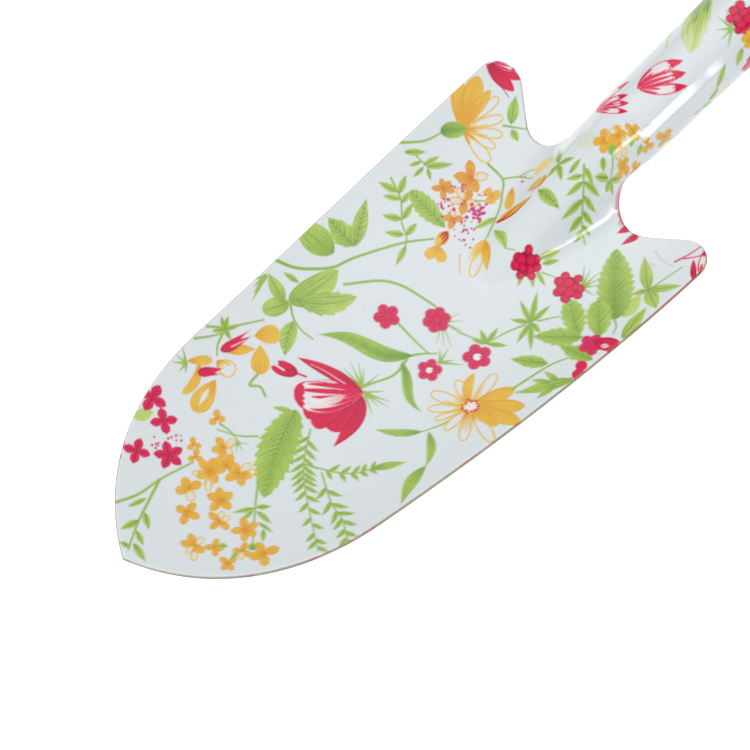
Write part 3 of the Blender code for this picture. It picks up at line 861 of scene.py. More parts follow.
def draw_middle(art):
    stroke(art, [(-4.5, 94.1), (1, 94), (6.6, 94.1)], 0.7)
    stroke(art, [(4.2, 90.9), (5.6, 93), (8, 95.6)], 0.75)
    stroke(art, [(4.4, 103.2), (8.5, 104), (12.6, 105.8)], 0.6)
    stroke(art, [(4, 89), (5, 83.5), (2.2, 76.4)], 0.9)
    blade_leaf(art, (4.4, 91), (-15.8, 76.6), 4.6, wave=0.045, shade=0.6)
    blade_leaf(art, (3.6, 87.6), (18, 81.6), 2.7, bend=-0.07, wave=0.04, shade=0.6)
    leaf(art, (-4, 58.8), (9.2, 37), 9.8, teeth=10, veins=1.35, shape=(0.55, 0.7), bend=-0.04)
    petal(art, (-4.4, 58), (-8.4, 55), 1.6, LEAF, DARK_LEAF)
    fern(art, [(2.4, 58.1), (8.6, 50.5), (15.2, 45.5), (30, 36.6)], 4.6, 12)
    fern(art, [(8.6, 50.5), (15.5, 54.6), (19.1, 57.8), (21.3, 62)], 3.4, 5, start=0.25)
    blade_leaf(art, (21.2, 61.8), (25.9, 69.2), 2.2)
    fern(art, [(13.6, 52.1), (21.5, 48.2), (27.2, 46.8), (33, 43.5)], 4.6, 6, start=0.2, width=1.4)
    stroke(art, [(24.6, 84.6), (23.8, 82), (22.1, 77.9)], 0.6)
    blade_leaf(art, (22.1, 77.9), (13, 69.8), 2.2, bend=0.05)
    blade_leaf(art, (23.2, 79), (30.4, 71.2), 2.3, bend=0.1)
    blade_leaf(art, (30.2, 71.6), (34.4, 59.8), 3.2, bend=-0.08)
    stroke(art, [(-21.4, 90.6), (-16.5, 98.1), (-11.8, 101.6), (-6.5, 103.2), (-2, 104.2)], 0.75, taper=0.9)
    tips = [(5.8, 106.5), (3.6, 107.2), (7.6, 104.4), (7.8, 98.2), (5.8, 97.4), (9.4, 99.4)]
    hairs(art, (2.4, 102.5), tips)
    hairs(art, (10.4, 94.4), [(9, 98.5), (15.2, 98.2), (7.6, 97), (12.4, 97.4)], 0.9)
    raspberry_flower(art, (-8.2, 93.2), 3.4, 5, 20)
    raspberry_flower(art, (1, 101.9), 3.6, 6, 0)
    raspberry_flower(art, (10.2, 91.1), 3.2, 5, 50, ring=True)
    star_leaf(art, (14.8, 106.3), [(10.6, 108), (13.4, 111.6), (19.2, 109.6), (11, 104.6)], 1.5)
    raspberry_flower(art, (15.9, 102.1), 3.7, 5, 80, ring=True)


def draw_daisy(art):
    centre = (25.4, 91.1)
    for tip, width, seed in (
        ((15.3, 87), 3.4, 1), ((18.2, 83.4), 2.8, 2), ((17.2, 94), 3.0, 3), ((23, 102), 3.2, 4),
        ((25.8, 82), 2.6, 5), ((31.4, 82.8), 3.2, 6), ((37.2, 87.6), 3.4, 7), ((21.8, 82.4), 2.2, 8),
    ):
        open_petal(art, centre, tip, width, seed=seed)
    for tip, width in (((29.6, 102), 4.0), ((35.2, 100), 4.4), ((38, 96), 4.2), ((34.4, 91.6), 3.0)):
        yellow_petal(art, centre, tip, width, shape=(0.8, 0.55), fan=5)
    yellow_petal(art, centre, (18.8, 98), 2.6, shape=(0.9, 0.6), bend=0.12)
    disc(art, centre, 2.3, YELLOW)
    disc(art, centre, 1.6, linear(244, 232, 226))
    for k in range(24):
        angle = 2.4 * k
        reach = 1.3 + 0.9 * chance(k, 5)
        at = polar(centre, reach, angle)
        disc(art, at, 0.3, SCARLET if k % 3 else CRIMSON)


def draw_left(art):
    leaf(art, (-29.2, 93.8), (-39.4, 91.4), 7.4, veins=0, fan=8, shape=(0.6, 0.6))
    leaf(art, (-27.3, 99.1), (-36.6, 98.6), 6.0, veins=1.5, teeth=4)
    leaf(art, (-27.1, 99.3), (-34.2, 109.6), 3.8, veins=1.4, fan=4)
    points = [
        (-37, 80.6), (-32.2, 83.6), (-28.5, 88), (-26.3, 91.8), (-24.8, 97.7), (-20.1, 109.2), (-15.8, 116),
    ]
    stroke(art, points, 0.95, dark=0.5)
    leaf(art, (-26.4, 76.6), (-25.2, 91.8), 7.0, fan=9, shape=(0.55, 0.7), bend=-0.06)
    leaf(art, (-25.6, 78.4), (-17, 90.8), 6.2, fan=7, teeth=5, shape=(0.7, 0.8), bend=-0.08)
    leaf(art, (-26.6, 76.4), (-28.8, 69.8), 4.8, fan=5, shape=(0.5, 0.45))
    leaf(art, (-27.4, 75.6), (-35.2, 77.2), 3.6, fan=4)
    leaf(art, (-28.9, 81.8), (-33.2, 80.4), 1.6)
    hairs(art, (-35, 76), [(-32.4, 69.4), (-33.6, 71), (-34.8, 72), (-36, 73.6)], 1.2)
    stroke(art, [(-26.3, 76.7), (-22.8, 74.7), (-19.2, 74.2), (-15.6, 74.9)], 0.7)
    leaf(art, (-22.2, 74.2), (-16.6, 66.4), 4.4, veins=1.4, bend=-0.06)
    stroke(art, [(-34.2, 118), (-28.6, 116.3), (-24, 112.6), (-20, 110.6), (-17, 105.4)], 0.6)
    leaves(art, (
        ((-30.6, 117), (-35.4, 114.8), 2.0), ((-30, 117), (-32.4, 121.6), 1.9),
        ((-28.8, 116.4), (-32.2, 113.4), 1.7), ((-27.8, 116), (-28.6, 119.6), 1.7),
        ((-24.8, 113.2), (-28.6, 110), 2.0), ((-24.6, 113.4), (-26, 118.2), 1.8),
        ((-21.4, 111), (-25, 107.6), 1.9), ((-21, 111.2), (-21.6, 115.6), 1.9),
        ((-18.9, 109.4), (-16.8, 104), 1.8),
    ))
    leaf(art, (-16, 120.3), (-28.8, 119.8), 5.4, teeth=7, veins=1.3, shape=(0.8, 0.6))


def draw_left_ear(art):
    solid_crimson(art, (-39.6, 156), (-30.2, 157), 3.6, shape=(0.7, 0.7))
    solid_crimson(art, (-39.2, 156.8), (-31.2, 160.2), 2.8, shape=(0.7, 0.7))
    feathered(art, (-38.8, 158), (-33.4, 161.4), 2.4, seed=5, count=3)
    stroke(art, [(-36, 154.9), (-33, 155.2), (-30, 155)], 0.35, DARK_CRIMSON)
    stroke(art, [(-39.4, 125.4), (-35.8, 130.8), (-34.4, 136.1)], 0.75)
    base = (-32, 140.4)
    for tip, width, seed in (
        ((-31.6, 152.9), 2.8, 1), ((-27.2, 150.4), 2.8, 2), ((-24, 147.4), 2.8, 3),
        ((-22.9, 143.8), 2.6, 4), ((-21.2, 140.2), 3.4, 5),
    ):
        open_petal(art, base, tip, width, shape=(0.9, 0.35), seed=seed)
    yellow_petal(art, base, (-41, 147.6), 4.6, shape=(0.8, 0.5), fan=5)
    yellow_petal(art, base, (-38.6, 152.2), 5.2, shape=(0.8, 0.5), fan=5)
    yellow_petal(art, base, (-34.2, 152.4), 2.8, shape=(0.9, 0.6))
    for tip, width in (((-41, 147.6), 4.2), ((-38.6, 152.2), 4.8), ((-34.2, 152.4), 2.4)):
        streaks(art, base, tip, width, (YELLOW + ORANGE) / 2, 5, 0.7, shape=(0.8, 0.5), seed=6)
    petal(art, (-34.9, 135.8), (-31.3, 141.2), 4.2, LEAF, DARK_LEAF, shape=(0.5, 0.5), fan=6, shade=0.8)
    stroke(art, [(-25.6, 149.1), (-23.4, 150.9), (-21, 152.8)], 0.65, dark=0.5)
    leaf(art, (-24.6, 150.8), (-29, 156.6), 3.0, fan=3)
    leaf(art, (-23.4, 150), (-20, 149.2), 2.1)
    leaf(art, (-36.8, 125), (-33.4, 129.4), 1.8)
    stroke(art, [(-34.3, 126.8), (-30.6, 127.2)], 0.5)
    leaves(art, (
        ((-31.4, 126.6), (-30.5, 131.4), 1.6), ((-30.6, 127), (-26.8, 132.8), 1.8),
        ((-31, 126.4), (-30.8, 122.6), 1.3), ((-30.2, 127), (-27.4, 125.6), 1.3),
        ((-32.4, 126.8), (-33.6, 123.6), 1.2),
    ))


def draw_orange_cluster(art):
    light, dark = linear(234, 170, 52), linear(206, 120, 30)
    for x, y, radius, petals, turn in (
        (-21.2, 134, 4.4, 5, 65), (-23.8, 126.7, 2.9, 5, 20), (-17.8, 128.6, 3.9, 5, 95),
        (-16.3, 123.4, 2.9, 4, 40),
    ):
        blossom(art, (x, y), radius, petals, turn, light, dark, shape=POINTED, width=0.56)
    stroke(art, [(-16, 130.7), (-13.6, 133.2)], 0.6)
    blossom(art, (-14.4, 134.6), 2.2, 3, 60, width=0.9)
    for x, y, spread, count, size, seed in (
        (-21.5, 130, 0.8, 7, 0.28, 21), (-20.2, 124.2, 1.1, 18, 0.33, 22), (-13.4, 129, 1.1, 34, 0.4, 23),
        (-12.9, 124.6, 1.2, 14, 0.28, 24), (-10.6, 121.6, 1.5, 12, 0.26, 25),
        (-16.5, 132.7, 0.6, 4, 0.26, 26), (-8.6, 128.6, 0.7, 3, 0.22, 27), (-11.2, 143, 0.7, 5, 0.22, 28),
    ):
        dots(art, (x, y), spread, count, size, MAGENTA, seed)
    yellow_petal(art, (-14.8, 120), (-13.7, 114.8), 3.0, shape=LEAF_SHAPE)
    streaks(art, (-14.8, 120.2), (-13.7, 115), 2.4, SCARLET, 3, 0.95, seed=4)
    yellow_petal(art, (-13.4, 115.6), (-9.8, 113.6), 2.8)
    yellow_petal(art, (-13.4, 115.6), (-13.4, 111.4), 2.8)


def draw_vine(art):
    stroke(art, [(-20.9, 139.6), (-15.5, 139.6), (-12.8, 137.1), (-9.7, 133), (-6.4, 125.8)], 0.75, dark=0.4)
    stroke(art, [(-15.3, 139.9), (-12.8, 142.6), (-9, 144)], 0.6)
    stroke(art, [(-12.8, 142.6), (-11.6, 145.4), (-9.4, 147)], 0.45)
    leaf(art, (-8.9, 131.2), (-10.9, 125.2), 1.9)
    leaf(art, (-6.2, 128.3), (0, 126.4), 2.4, bend=0.08)
    stroke(art, [(-0.4, 126.6), (2, 127.8)], 0.4)
    petal(art, (-9.3, 144.8), (-8.9, 150.2), 3.4, PALE_YELLOW, YELLOW, shape=ROUND)
    yellow_petal(art, (-11.8, 139.6), (-8, 134.6), 2.3)
    yellow_petal(art, (-7.6, 130.2), (-4.5, 139.6), 2.4, shape=LANCE)
    stroke(art, [(-7.4, 130.6), (-5.4, 134), (-4.7, 138.8)], 0.75, SCARLET, taper=0.3)
    stroke(art, [(-7.2, 130.6), (-6.6, 134.6), (-5.6, 137)], 0.5, SCARLET, taper=0.3)
    yellow_petal(art, (-7, 140.2), (-5.3, 144.8), 2.5)
    stroke(art, [(-5.2, 144.4), (-4.8, 142.2), (-5.8, 140.4)], 0.35, SCARLET)
    open_petal(art, (-6.4, 125.4), (-1.6, 116.2), 3.0, seed=3)
    yellow_petal(art, (-6.2, 125.2), (0.2, 119.8), 2.2, shape=LANCE, fan=6)
    streaks(art, (-6.6, 125.2), (-5, 117.4), 2.4, YELLOW, 4, 0.9, seed=9)
    stroke(art, [(-8.2, 118.2), (-6.4, 116.4), (-4.2, 114.6)], 0.5, YELLOW)
    leaf(art, (-4.2, 141.1), (3.6, 141.2), 3.0, veins=1.3)
    star_leaf(art, (-4.7, 148.3), [(-9, 153), (-2.2, 151.4), (-4.6, 144.4), (-0.6, 145.6)], 1.5)
    leaf(art, (-0.4, 148), (-0.8, 152.2), 1.5)


def draw_ridge(art):
    stroke(art, [(1, 151.6), (6, 147), (8.8, 144.3), (12.6, 142)], 0.6)
    for base, tip in (
        ((1.4, 151.2), (5.7, 150.6)), ((2.6, 149.8), (0, 146.6)), ((3.6, 149), (8.2, 151)),
        ((3.6, 149), (2.8, 144)), ((5.6, 147.4), (9.6, 148.4)), ((6, 147), (5.4, 140.4)),
        ((7.4, 145.6), (10.8, 146.4)), ((8, 145), (8.2, 140.4)), ((9.2, 144), (12, 144.4)),
        ((10, 143.6), (10.6, 140.4)),
    ):
        leaf(art, base, tip, 1.5, rib=0.12)
    leaves(art, (
        ((7.3, 131.2), (9.5, 136.4), 1.8), ((8.8, 131), (11, 134.8), 1.4), ((8.4, 127.6), (11.6, 125.2), 1.3),
        ((9, 128.8), (13.6, 127.6), 1.4), ((7, 126), (8.6, 122.6), 1.2),
    ), rib=0.12)
    stroke(art, [(10.2, 129.5), (13.8, 131.2)], 0.5)
    berry(art, (6.2, 127.8), 4.0, 1)
    tips = [(16.6, 138.2), (18.4, 138.6), (20.6, 138.8), (23.2, 136.8), (24.6, 134), (22, 138)]
    hairs(art, (20.6, 133.4), tips, 0.85)


def draw_right(art):
    tips = [(13, 125.4), (11.6, 120.6), (13.8, 115), (20.2, 111.4), (24.4, 112.4), (18.4, 125), (22.6, 117.6)]
    star_leaf(art, (18.4, 118.1), tips, 1.6)
    stroke(art, [(19.4, 119.6), (22.4, 124)], 0.6)
    stroke(art, [(17.8, 116.6), (16, 112), (15, 107.6)], 0.6)
    petal(art, (34.8, 134), (33.2, 141.6), 3.8, PALE_LEAF, LEAF, rib=0.12)
    leaf(art, (33.6, 132.2), (19.2, 146.8), 9.2, teeth=11, veins=1.5, shape=(0.6, 0.75), shade=0.6)
    leaf(art, (34.2, 126.6), (26.4, 133.6), 6.4, teeth=6, veins=1.2, shape=(0.6, 0.5))
    leaf(art, (30.2, 123.2), (20.8, 129), 6.0, teeth=6, veins=1.3, shape=(0.7, 0.5))
    leaf(art, (31.2, 123.6), (21.6, 115.6), 5.4, teeth=6, veins=1.3)
    leaf(art, (38, 120.4), (28.6, 118.2), 4.4, teeth=5, veins=1.2)
    leaf(art, (30.4, 112.6), (22.4, 107.4), 3.8, teeth=4, veins=1.1)
    stroke(art, [(29.2, 101.4), (31, 112), (33, 117)], 0.7)
    stroke(art, [(30.8, 101.6), (34.6, 108), (38.4, 114)], 0.5)
    for base, tip, width in (
        ((38.6, 113.4), (30.8, 101.2), 3.4), ((36, 110.6), (31.2, 110.4), 1.7),
        ((35, 109), (30.8, 106.6), 1.6), ((36.6, 109.4), (35.8, 103.4), 1.7),
    ):
        petal(art, base, tip, width, LEAF, DARK_LEAF, shape=LANCE, fan=3)
    stroke(art, [(33.8, 143.4), (34.6, 148), (35.6, 153.6)], 0.55)
    for tip, width in (((26, 149.8), 3.4), ((39.4, 149.4), 2.4), ((39.4, 140.8), 3.8), ((31.4, 140), 1.8)):
        leaf(art, (33.8, 143.4), tip, width, fan=3)
    leaf(art, (39, 129.4), (37.2, 139.6), 3.2, fan=3)
    stroke(art, [(33.5, 132.2), (35.4, 131), (36.4, 129)], 0.6)
    berry(art, (18, 131.2), 4.4, 2)
    raspberry_flower(art, (34.6, 123.4), 3.2, 5, 30)
    solid_crimson(art, (34.6, 124.4), (40.4, 127.4), 4.2, shape=(0.5, 0.4))
    petal(art, (36.6, 124.6), (38.4, 125.8), 1.4, linear(240, 200, 214), RASPBERRY)
    disc(art, (37.2, 117.4), 1.5, CRIMSON)
    disc(art, (38.6, 115.2), 1.7, CRIMSON)
    stroke(art, [(33, 153.4), (34.2, 157), (35, 161)], 0.55, CRIMSON)
    stroke(art, [(34.2, 155.4), (36.4, 158), (37.6, 160.4)], 0.45, CRIMSON)
    solid_crimson(art, (40.4, 152.4), (36.2, 156.6), 1.6, shape=(0.5, 0.8))
    feathered(art, (40.6, 154.4), (36.4, 160.4), 2.0, seed=3, count=2, reach=0.7)
    solid_crimson(art, (17.4, 153), (16.2, 149.6), 1.9, shape=(0.35, 1.1))
    solid_crimson(art, (20.4, 152.9), (19.2, 148.2), 1.9, shape=(0.35, 1.1))


def draw_neck(art):
    disc(art, (-2.9, 156.1), 2.4, PALE_LEAF, 0.25)
    stroke(art, [(3.8, 158.6), (6, 157), (7.8, 155)], 0.55)
    leaves(art, (
        ((3.3, 155.8), (5.5, 154.2), 1.7), ((7, 154.6), (4.8, 151.8), 1.6), ((7.6, 154.8), (8.3, 152.6), 1.5),
        ((7.8, 154.8), (9.8, 154), 1.3), ((7.8, 155), (9.9, 157.8), 1.4),
    ))
    for x, y, radius, petals, turn in (
        (0.8, 158.6, 2.9, 5, 10), (2.2, 161.8, 2.6, 5, 50), (5.0, 160.6, 2.6, 4, 20), (4.3, 166.2, 2.4, 4, 0),
        (10, 167.6, 2.2, 3, 40), (12.4, 172.6, 2.8, 4, 30), (9, 159, 2.1, 4, 15), (12.8, 161.6, 2.1, 4, 0),
    ):
        blossom(art, (x, y), radius, petals, turn, shape=DROP)
    petal(art, (5.2, 165), (7, 162.6), 1.7, LEAF, DARK_LEAF)
    petal(art, (8.6, 166), (10.4, 163.2), 1.7, LEAF, DARK_LEAF)
    disc(art, (3.8, 158.6), 1.15, STEM)
    for base, petals in (
        ((-3, 176.2), (((0.4, 188.8), 3.8, 0.1), ((5.8, 185.2), 3.2, -0.06), ((3.2, 187.2), 3.6, 0.02))),
        ((-8.6, 164), (((-6.8, 176.2), 3.0, 0.1), ((-0.2, 169.4), 2.6, -0.08), ((-1.6, 171.6), 2.8, 0),
                       ((-3.6, 173.2), 2.8, 0.04))),
    ):
        for k, (tip, width, bend) in enumerate(petals):
            feathered(art, base, tip, width, seed=2 + 2 * k, shape=(0.6, 0.75), bend=bend, count=3, reach=0.8)
    petal(art, (-12.6, 207), (0.6, 191.6), 8.0, linear(212, 224, 172), PALE_LEAF, teeth=5, shape=(0.6, 0.7))
    streaks(art, (-12.6, 207), (0.6, 191.6), 7.6, LEAF, 8, 1.2, shape=(0.6, 0.7), seed=4)
    streaks(art, (-12.6, 207), (0.6, 191.6), 7.6, DARK_LEAF, 8, 0.6, shape=(0.6, 0.7), seed=9)
    stroke(art, [(-12, 194), (-9, 191.6), (-6.2, 188.8)], 1.0, PALE_LEAF)
    stroke(art, [(14.6, 182.6), (14.9, 187), (12, 192), (9.2, 195.8)], 0.6)
    leaves(art, (
        ((14.8, 185.4), (17, 188.4), 1.8), ((14.6, 187.6), (13.4, 191.4), 1.8),
        ((12.6, 191), (8.6, 196.4), 1.8),
    ))
    hairs(art, (3.4, 203.2), [(-1, 205.6), (-1.4, 203), (1, 200.4), (6.2, 199.2), (3.6, 199.4)], 0.9)
    berry(art, (3.4, 207), 4.2, 5)


def draw_round_the_neck(art):
    """Motifs on the sides and back of the socket, which carry the print on round."""
    for side, shift in ((-1, 0.0), (1, 5.0)):
        leaf(art, (side * 17, 172 + shift), (side * 25, 180 + shift), 5.0, teeth=6, veins=1.3)
        leaf(art, (side * 17, 172 + shift), (side * 24, 168 + shift), 3.6, veins=1.2)
        stroke(art, [(side * 13, 166 + shift), (side * 17, 172 + shift), (side * 19, 184 + shift)], 0.7)
        blossom(art, (side * 19, 187 + shift), 3.6, 5, 20 * side)
        blossom(art, (side * 24.5, 191 + shift), 2.8, 4, 40)
        raspberry_flower(art, (side * 16, 197 + shift), 3.2, 5, 30)
        raspberry_flower(art, (side * 26.5, 172 + shift), 2.8, 5, 10)
        fern(art, [(side * 13, 203 + shift), (side * 18, 207 + shift), (side * 25, 208 + shift)], 3.6, 6)
        tips = [(side * x, y + shift) for x, y in ((27, 202), (24, 203), (28, 198))]
        hairs(art, (side * 24, 199 + shift), tips)
        four_petals(art, (side * 24, 198 + shift), 3.0, 30)
    leaf(art, (10, 214), (4, 221), 4.4, veins=1.3)
    leaf(art, (-8, 214), (-14, 221), 4.4, veins=1.3)
    yellow_petal(art, (-2, 219), (-4, 212), 3.0)
    yellow_petal(art, (-2, 219), (1, 213), 3.0)
    blossom(art, (9, 205), 2.6, 5, 10)
    leaf(art, (9, 202), (12, 198), 2.2)


def rim_colours(art, distance):
    """Brown, red and olive colours laid in a thin band along the sheet's rim, redder in the notches."""
    ids = np.flatnonzero(distance < 1.0)
    along = art.at[ids] @ [0.13, 0.21] + 1.4 * np.sin(art.at[ids] @ [0.31, -0.17])
    slot = along + 0.6 * np.sin(1.9 * along)
    low = np.floor(slot).astype(int)
    part = smooth((slot - low - 0.3) / 0.4)[:, None]
    colour = (1 - part) * RIM_PAINTS[low % 5] + part * RIM_PAINTS[(low + 1) % 5]
    red = smooth(4 - np.hypot(np.abs(art.x[ids]) - 14, art.y[ids] - 155) / 2.5)
    colour = (1 - red)[:, None] * colour + red[:, None] * NOTCH_RED
    art.lay(ids, 0.9 * np.clip(1.2 + 0.5 * red - distance[ids] / 0.22, 0, 1), colour)


def red_bleed(art, distance):
    """Crimson that has run along the inner edge of one notch."""
    ids = np.flatnonzero((distance < 2.0) & (art.x > 7) & (art.x < 19) & (art.y > 150) & (art.y < 163))
    along = smooth((art.x[ids] - 7) / 2) * smooth((158.5 - art.y[ids]) / 3) * smooth((17.5 - art.x[ids]) / 3)
    art.lay(ids, along * np.clip(1.05 - distance[ids] / 1.7, 0, 1), BLEED_RED)


def flaws(art):
    """Faint scuffs, and small grey specks under the glaze."""
    for points in (
        [(27, 152.6), (30, 151.8), (34, 152.4)], [(29, 149.6), (31, 149.2)], [(6, 171), (7.6, 172.4)],
    ):
        stroke(art, points, 0.3, linear(176, 182, 170), taper=0.3)
    draw = np.random.default_rng(77)
    for _ in range(46):
        at = draw.uniform([-36, 10], [36, 215])
        disc(art, at, draw.uniform(0.1, 0.24), SPECK, draw.uniform(0.25, 0.6))


def painted(places, distance):
    """The print's colour at these places on the sheet."""
    art = Art(places)
    for motifs in (
        draw_tip, draw_left, draw_middle, draw_yellow_cluster, draw_tulip, draw_daisy, draw_left_ear,
        draw_orange_cluster, draw_vine, draw_ridge, draw_right, draw_neck, draw_round_the_neck,
    ):
        motifs(art)
    flaws(art)
    red_bleed(art, distance)
    rim_colours(art, distance)
    return art.colour


# ---------------------------------------------------------------- materials
class Nodes:
    """The node tree of a material or a world, with short ways to add to it."""

    def __init__(self, owner):
        owner.use_nodes = True
        self.nodes, self.links = owner.node_tree.nodes, owner.node_tree.links

    def add(self, kind, settings=None, *values, **inputs):
        """A new node. The values go to its inputs in order, or by name."""
        node = self.nodes.new("ShaderNode" + kind)
        for key, value in (settings or {}).items():
            setattr(node, key, value)
        for value, socket in zip(values, node.inputs):
            self.plug(value, socket)
        for name, value in inputs.items():
            self.plug(value, node.inputs[name.replace("_", " ")])
        return node

    def plug(self, value, socket):
        if isinstance(value, bpy.types.NodeSocket):
            self.links.new(value, socket)
        else:
            socket.default_value = value


class Look(Nodes):
    """A material with a Principled shader."""

    def __init__(self, name, **constants):
        self.material = bpy.data.materials.new(name)
        super().__init__(self.material)
        self.shader = self.nodes["Principled BSDF"]
        for socket, value in constants.items():
            self.shader.inputs[socket.replace("_", " ")].default_value = value

    def into(self, socket, value):
        self.links.new(value, self.shader.inputs[socket])

    def coordinates(self, scale):
        """The piece's own coordinates in mm, scaled along each axis."""
        place = self.add("TexCoord").outputs["Object"]
        return self.add("Mapping", Vector=place, Scale=[1000 * k for k in scale]).outputs["Vector"]

    def noise(self, scale, detail=3.0):
        return self.add("TexNoise", Vector=self.coordinates(scale), Scale=1.0, Detail=detail).outputs["Fac"]

    def ramp(self, value, *stops):
        """A colour ramp through (position, linear colour) stops."""
        node = self.add("ValToRGB", Fac=value)
        bar = node.color_ramp.elements
        while len(bar) < len(stops):
            bar.new(0.5)
        for element, (at, colour) in zip(bar, stops):
            element.position = at
            element.color = (*colour, 1)
        return node.outputs["Color"]

    def span(self, value, low, high):
        """Stretches the noise's middle range to run from low to high."""
        return self.add("MapRange", None, value, 0.3, 0.7, low, high).outputs["Result"]

    def bump(self, height, depth):
        """Relief of this depth in mm where the height goes from 0 to 1."""
        node = self.add("Bump", Height=height, Strength=1.0, Distance=depth * MM)
        self.into("Normal", node.outputs["Normal"])


def enamel_material():
    """Glossy enamel that carries the print, with the faint ripple of a poured glaze."""
    look = Look("printed_enamel_gloss", Roughness=0.07, IOR=1.5, Coat_Weight=0.0)
    look.into("Base Color", look.add("Attribute", {"attribute_name": "print"}).outputs["Color"])
    look.bump(look.noise((0.09, 0.09, 0.09), 1.0), 0.12)
    return look.material


def ash_material():
    """Varnished ash, its grain along the handle: growth rings about a pith to one side, and long pores."""
    look = Look("varnished_ash_grain", IOR=1.5, Coat_Weight=0.55, Coat_Roughness=0.16)
    wander = look.noise((0.05, 0.05, 0.012), 2.0)
    place = look.add("TexCoord").outputs["Object"]
    shifted = look.add("Mapping", Vector=place, Location=(0.019, 0.007, 0), Scale=(1, 1, 0.05))
    in_mm = look.add("VectorMath", {"operation": "SCALE"}, Vector=shifted.outputs["Vector"], Scale=1000.0)
    kind = {"wave_type": "RINGS", "rings_direction": "Z", "wave_profile": "SAW"}
    rings = look.add(
        "TexWave", kind, Vector=in_mm.outputs[0], Scale=0.026, Distortion=2.4, Detail=2.0, Detail_Scale=0.14,
    ).outputs["Fac"]
    pores = look.noise((1.9, 1.9, 0.045), 4.0)
    grain = look.ramp(
        rings, (0.0, linear(226, 190, 140)), (0.55, linear(218, 176, 122)), (0.86, linear(196, 146, 92)),
        (0.97, linear(174, 122, 72)), (1.0, linear(214, 172, 120)),
    )
    fleck = look.ramp(pores, (0.36, linear(190, 160, 128)), (0.5, linear(255, 255, 255)))
    slow = look.ramp(wander, (0.3, linear(238, 226, 212)), (0.7, linear(255, 255, 255)))
    multiply = {"blend_type": "MULTIPLY"}
    dark = look.add("MixRGB", multiply, Fac=0.75, Color1=grain, Color2=fleck).outputs["Color"]
    tone = look.add("MixRGB", multiply, Fac=1.0, Color1=dark, Color2=slow).outputs["Color"]
    look.into("Base Color", tone)
    look.into("Roughness", look.span(pores, 0.5, 0.34))
    look.bump(pores, 0.05)
    return look.material


def metal_material(name, light, dark, rough, marks):
    """Turned metal, with fine tool marks round its axis and a slow change of tone."""
    look = Look(name, Metallic=1.0)
    tone = look.noise((0.5, 0.5, 0.5), 3.0)
    look.into("Base Color", look.ramp(tone, (0.32, dark), (0.62, light)))
    lines = look.noise((0.06, 0.06, marks), 2.0)
    look.into("Roughness", look.span(lines, rough * 1.35, rough * 0.75))
    look.bump(lines, 0.012)
    return look.material


# ---------------------------------------------------------------- the handle and its fittings
def filleted(profile, radius, closed=True):
    """The profile with each corner rounded, by up to this radius."""
    points = [np.array(p, float) for p in profile]
    made = []
    for i, p in enumerate(points):
        if not closed and i in (0, len(points) - 1):
            made.append(p)
            continue
        before, after = points[i - 1] - p, points[(i + 1) % len(points)] - p
        near = min(np.linalg.norm(before), np.linalg.norm(after)) * 0.45
        a, b = unit(before), unit(after)
        half = math.acos(np.clip(a @ b, -1, 1)) / 2
        if half > math.radians(84):
            made.append(p)
            continue
        pull = min(radius / math.tan(half), near)
        start, end = p + a * pull, p + b * pull
        for t in np.linspace(0, 1, 6):
            made.append((1 - t) ** 2 * start + 2 * (1 - t) * t * p + t * t * end)
    return made


def along_axis(s):
    """Placement with local Z along the handle's axis, at distance s from the socket's mouth."""
    turn = Matrix.Rotation(CRANK - math.pi / 2 - REST_PITCH, 4, "X")
    turn.translation = Vector(table_point(axis_point(SOCKET_LENGTH + s)))
    return turn


def across(s):
    return along_axis(s) @ Matrix.Rotation(math.pi / 2, 4, "Y")


def upright(s):
    return along_axis(s) @ Matrix.Rotation(math.pi / 2, 4, "X")


def turned(name, profile, place, look, steps=128, closed=True):
    """Body turned from a profile of (radius, height) points, in mm."""
    points = [(r * MM, 0.0, z * MM) for r, z in profile]
    edges = [(i, i + 1) for i in range(len(points) - 1)]
    if closed:
        edges.append((len(points) - 1, 0))
    mesh = bpy.data.meshes.new(name)
    mesh.from_pydata(points, edges, [])
    made = in_scene(name, mesh)
    screw = made.modifiers.new("turn", "SCREW")
    screw.steps = screw.render_steps = steps
    screw.use_merge_vertices = True
    screw.merge_threshold = 0.00001
    screw.use_normal_calculate = True
    made.matrix_world = place
    freeze(made)
    made.data.materials.append(look)
    return made


def freeze(made):
    """Keeps the shape that the modifiers make, with outward normals and crisp edges."""
    bpy.context.view_layer.update()
    graph = bpy.context.evaluated_depsgraph_get()
    mesh = bpy.data.meshes.new_from_object(made.evaluated_get(graph))
    made.modifiers.clear()
    made.data = mesh
    bm = bmesh.new()
    bm.from_mesh(mesh)
    bmesh.ops.remove_doubles(bm, verts=bm.verts, dist=1e-7)
    bmesh.ops.recalc_face_normals(bm, faces=bm.faces)
    bm.to_mesh(mesh)
    bm.free()
    mesh.shade_smooth()
    mesh.set_sharp_from_angle(angle=math.radians(38))


def cut_away(body, radius, depth, place):
    """Cuts a round hole through the body, its axis on the placement's local Z."""
    bpy.ops.mesh.primitive_cylinder_add(vertices=96, radius=radius * MM, depth=depth * MM)
    cutter = bpy.context.object
    cutter.matrix_world = place
    cut = body.modifiers.new("cut", "BOOLEAN")
    cut.operation = "DIFFERENCE"
    cut.solver = "EXACT"
    cut.object = cutter
    freeze(body)
    bpy.data.objects.remove(cutter)


def spigot_radius(s):
    return neck_radius(SOCKET_LENGTH + s) - SHEET - GAP


def grip_curve():
    """(radius, height) points of the grip, from its butt end to its neck end."""
    knots = np.array(GRIP)
    curve = spline(np.concatenate([knots[:1], knots, knots[-1:]]), 8)
    return [(r, s) for s, r in curve[::-1]]


def seat_height():
    knots = np.array(GRIP)
    return float(np.interp(HANG_S, knots[:, 0], knots[:, 1])) - SEAT_DEPTH


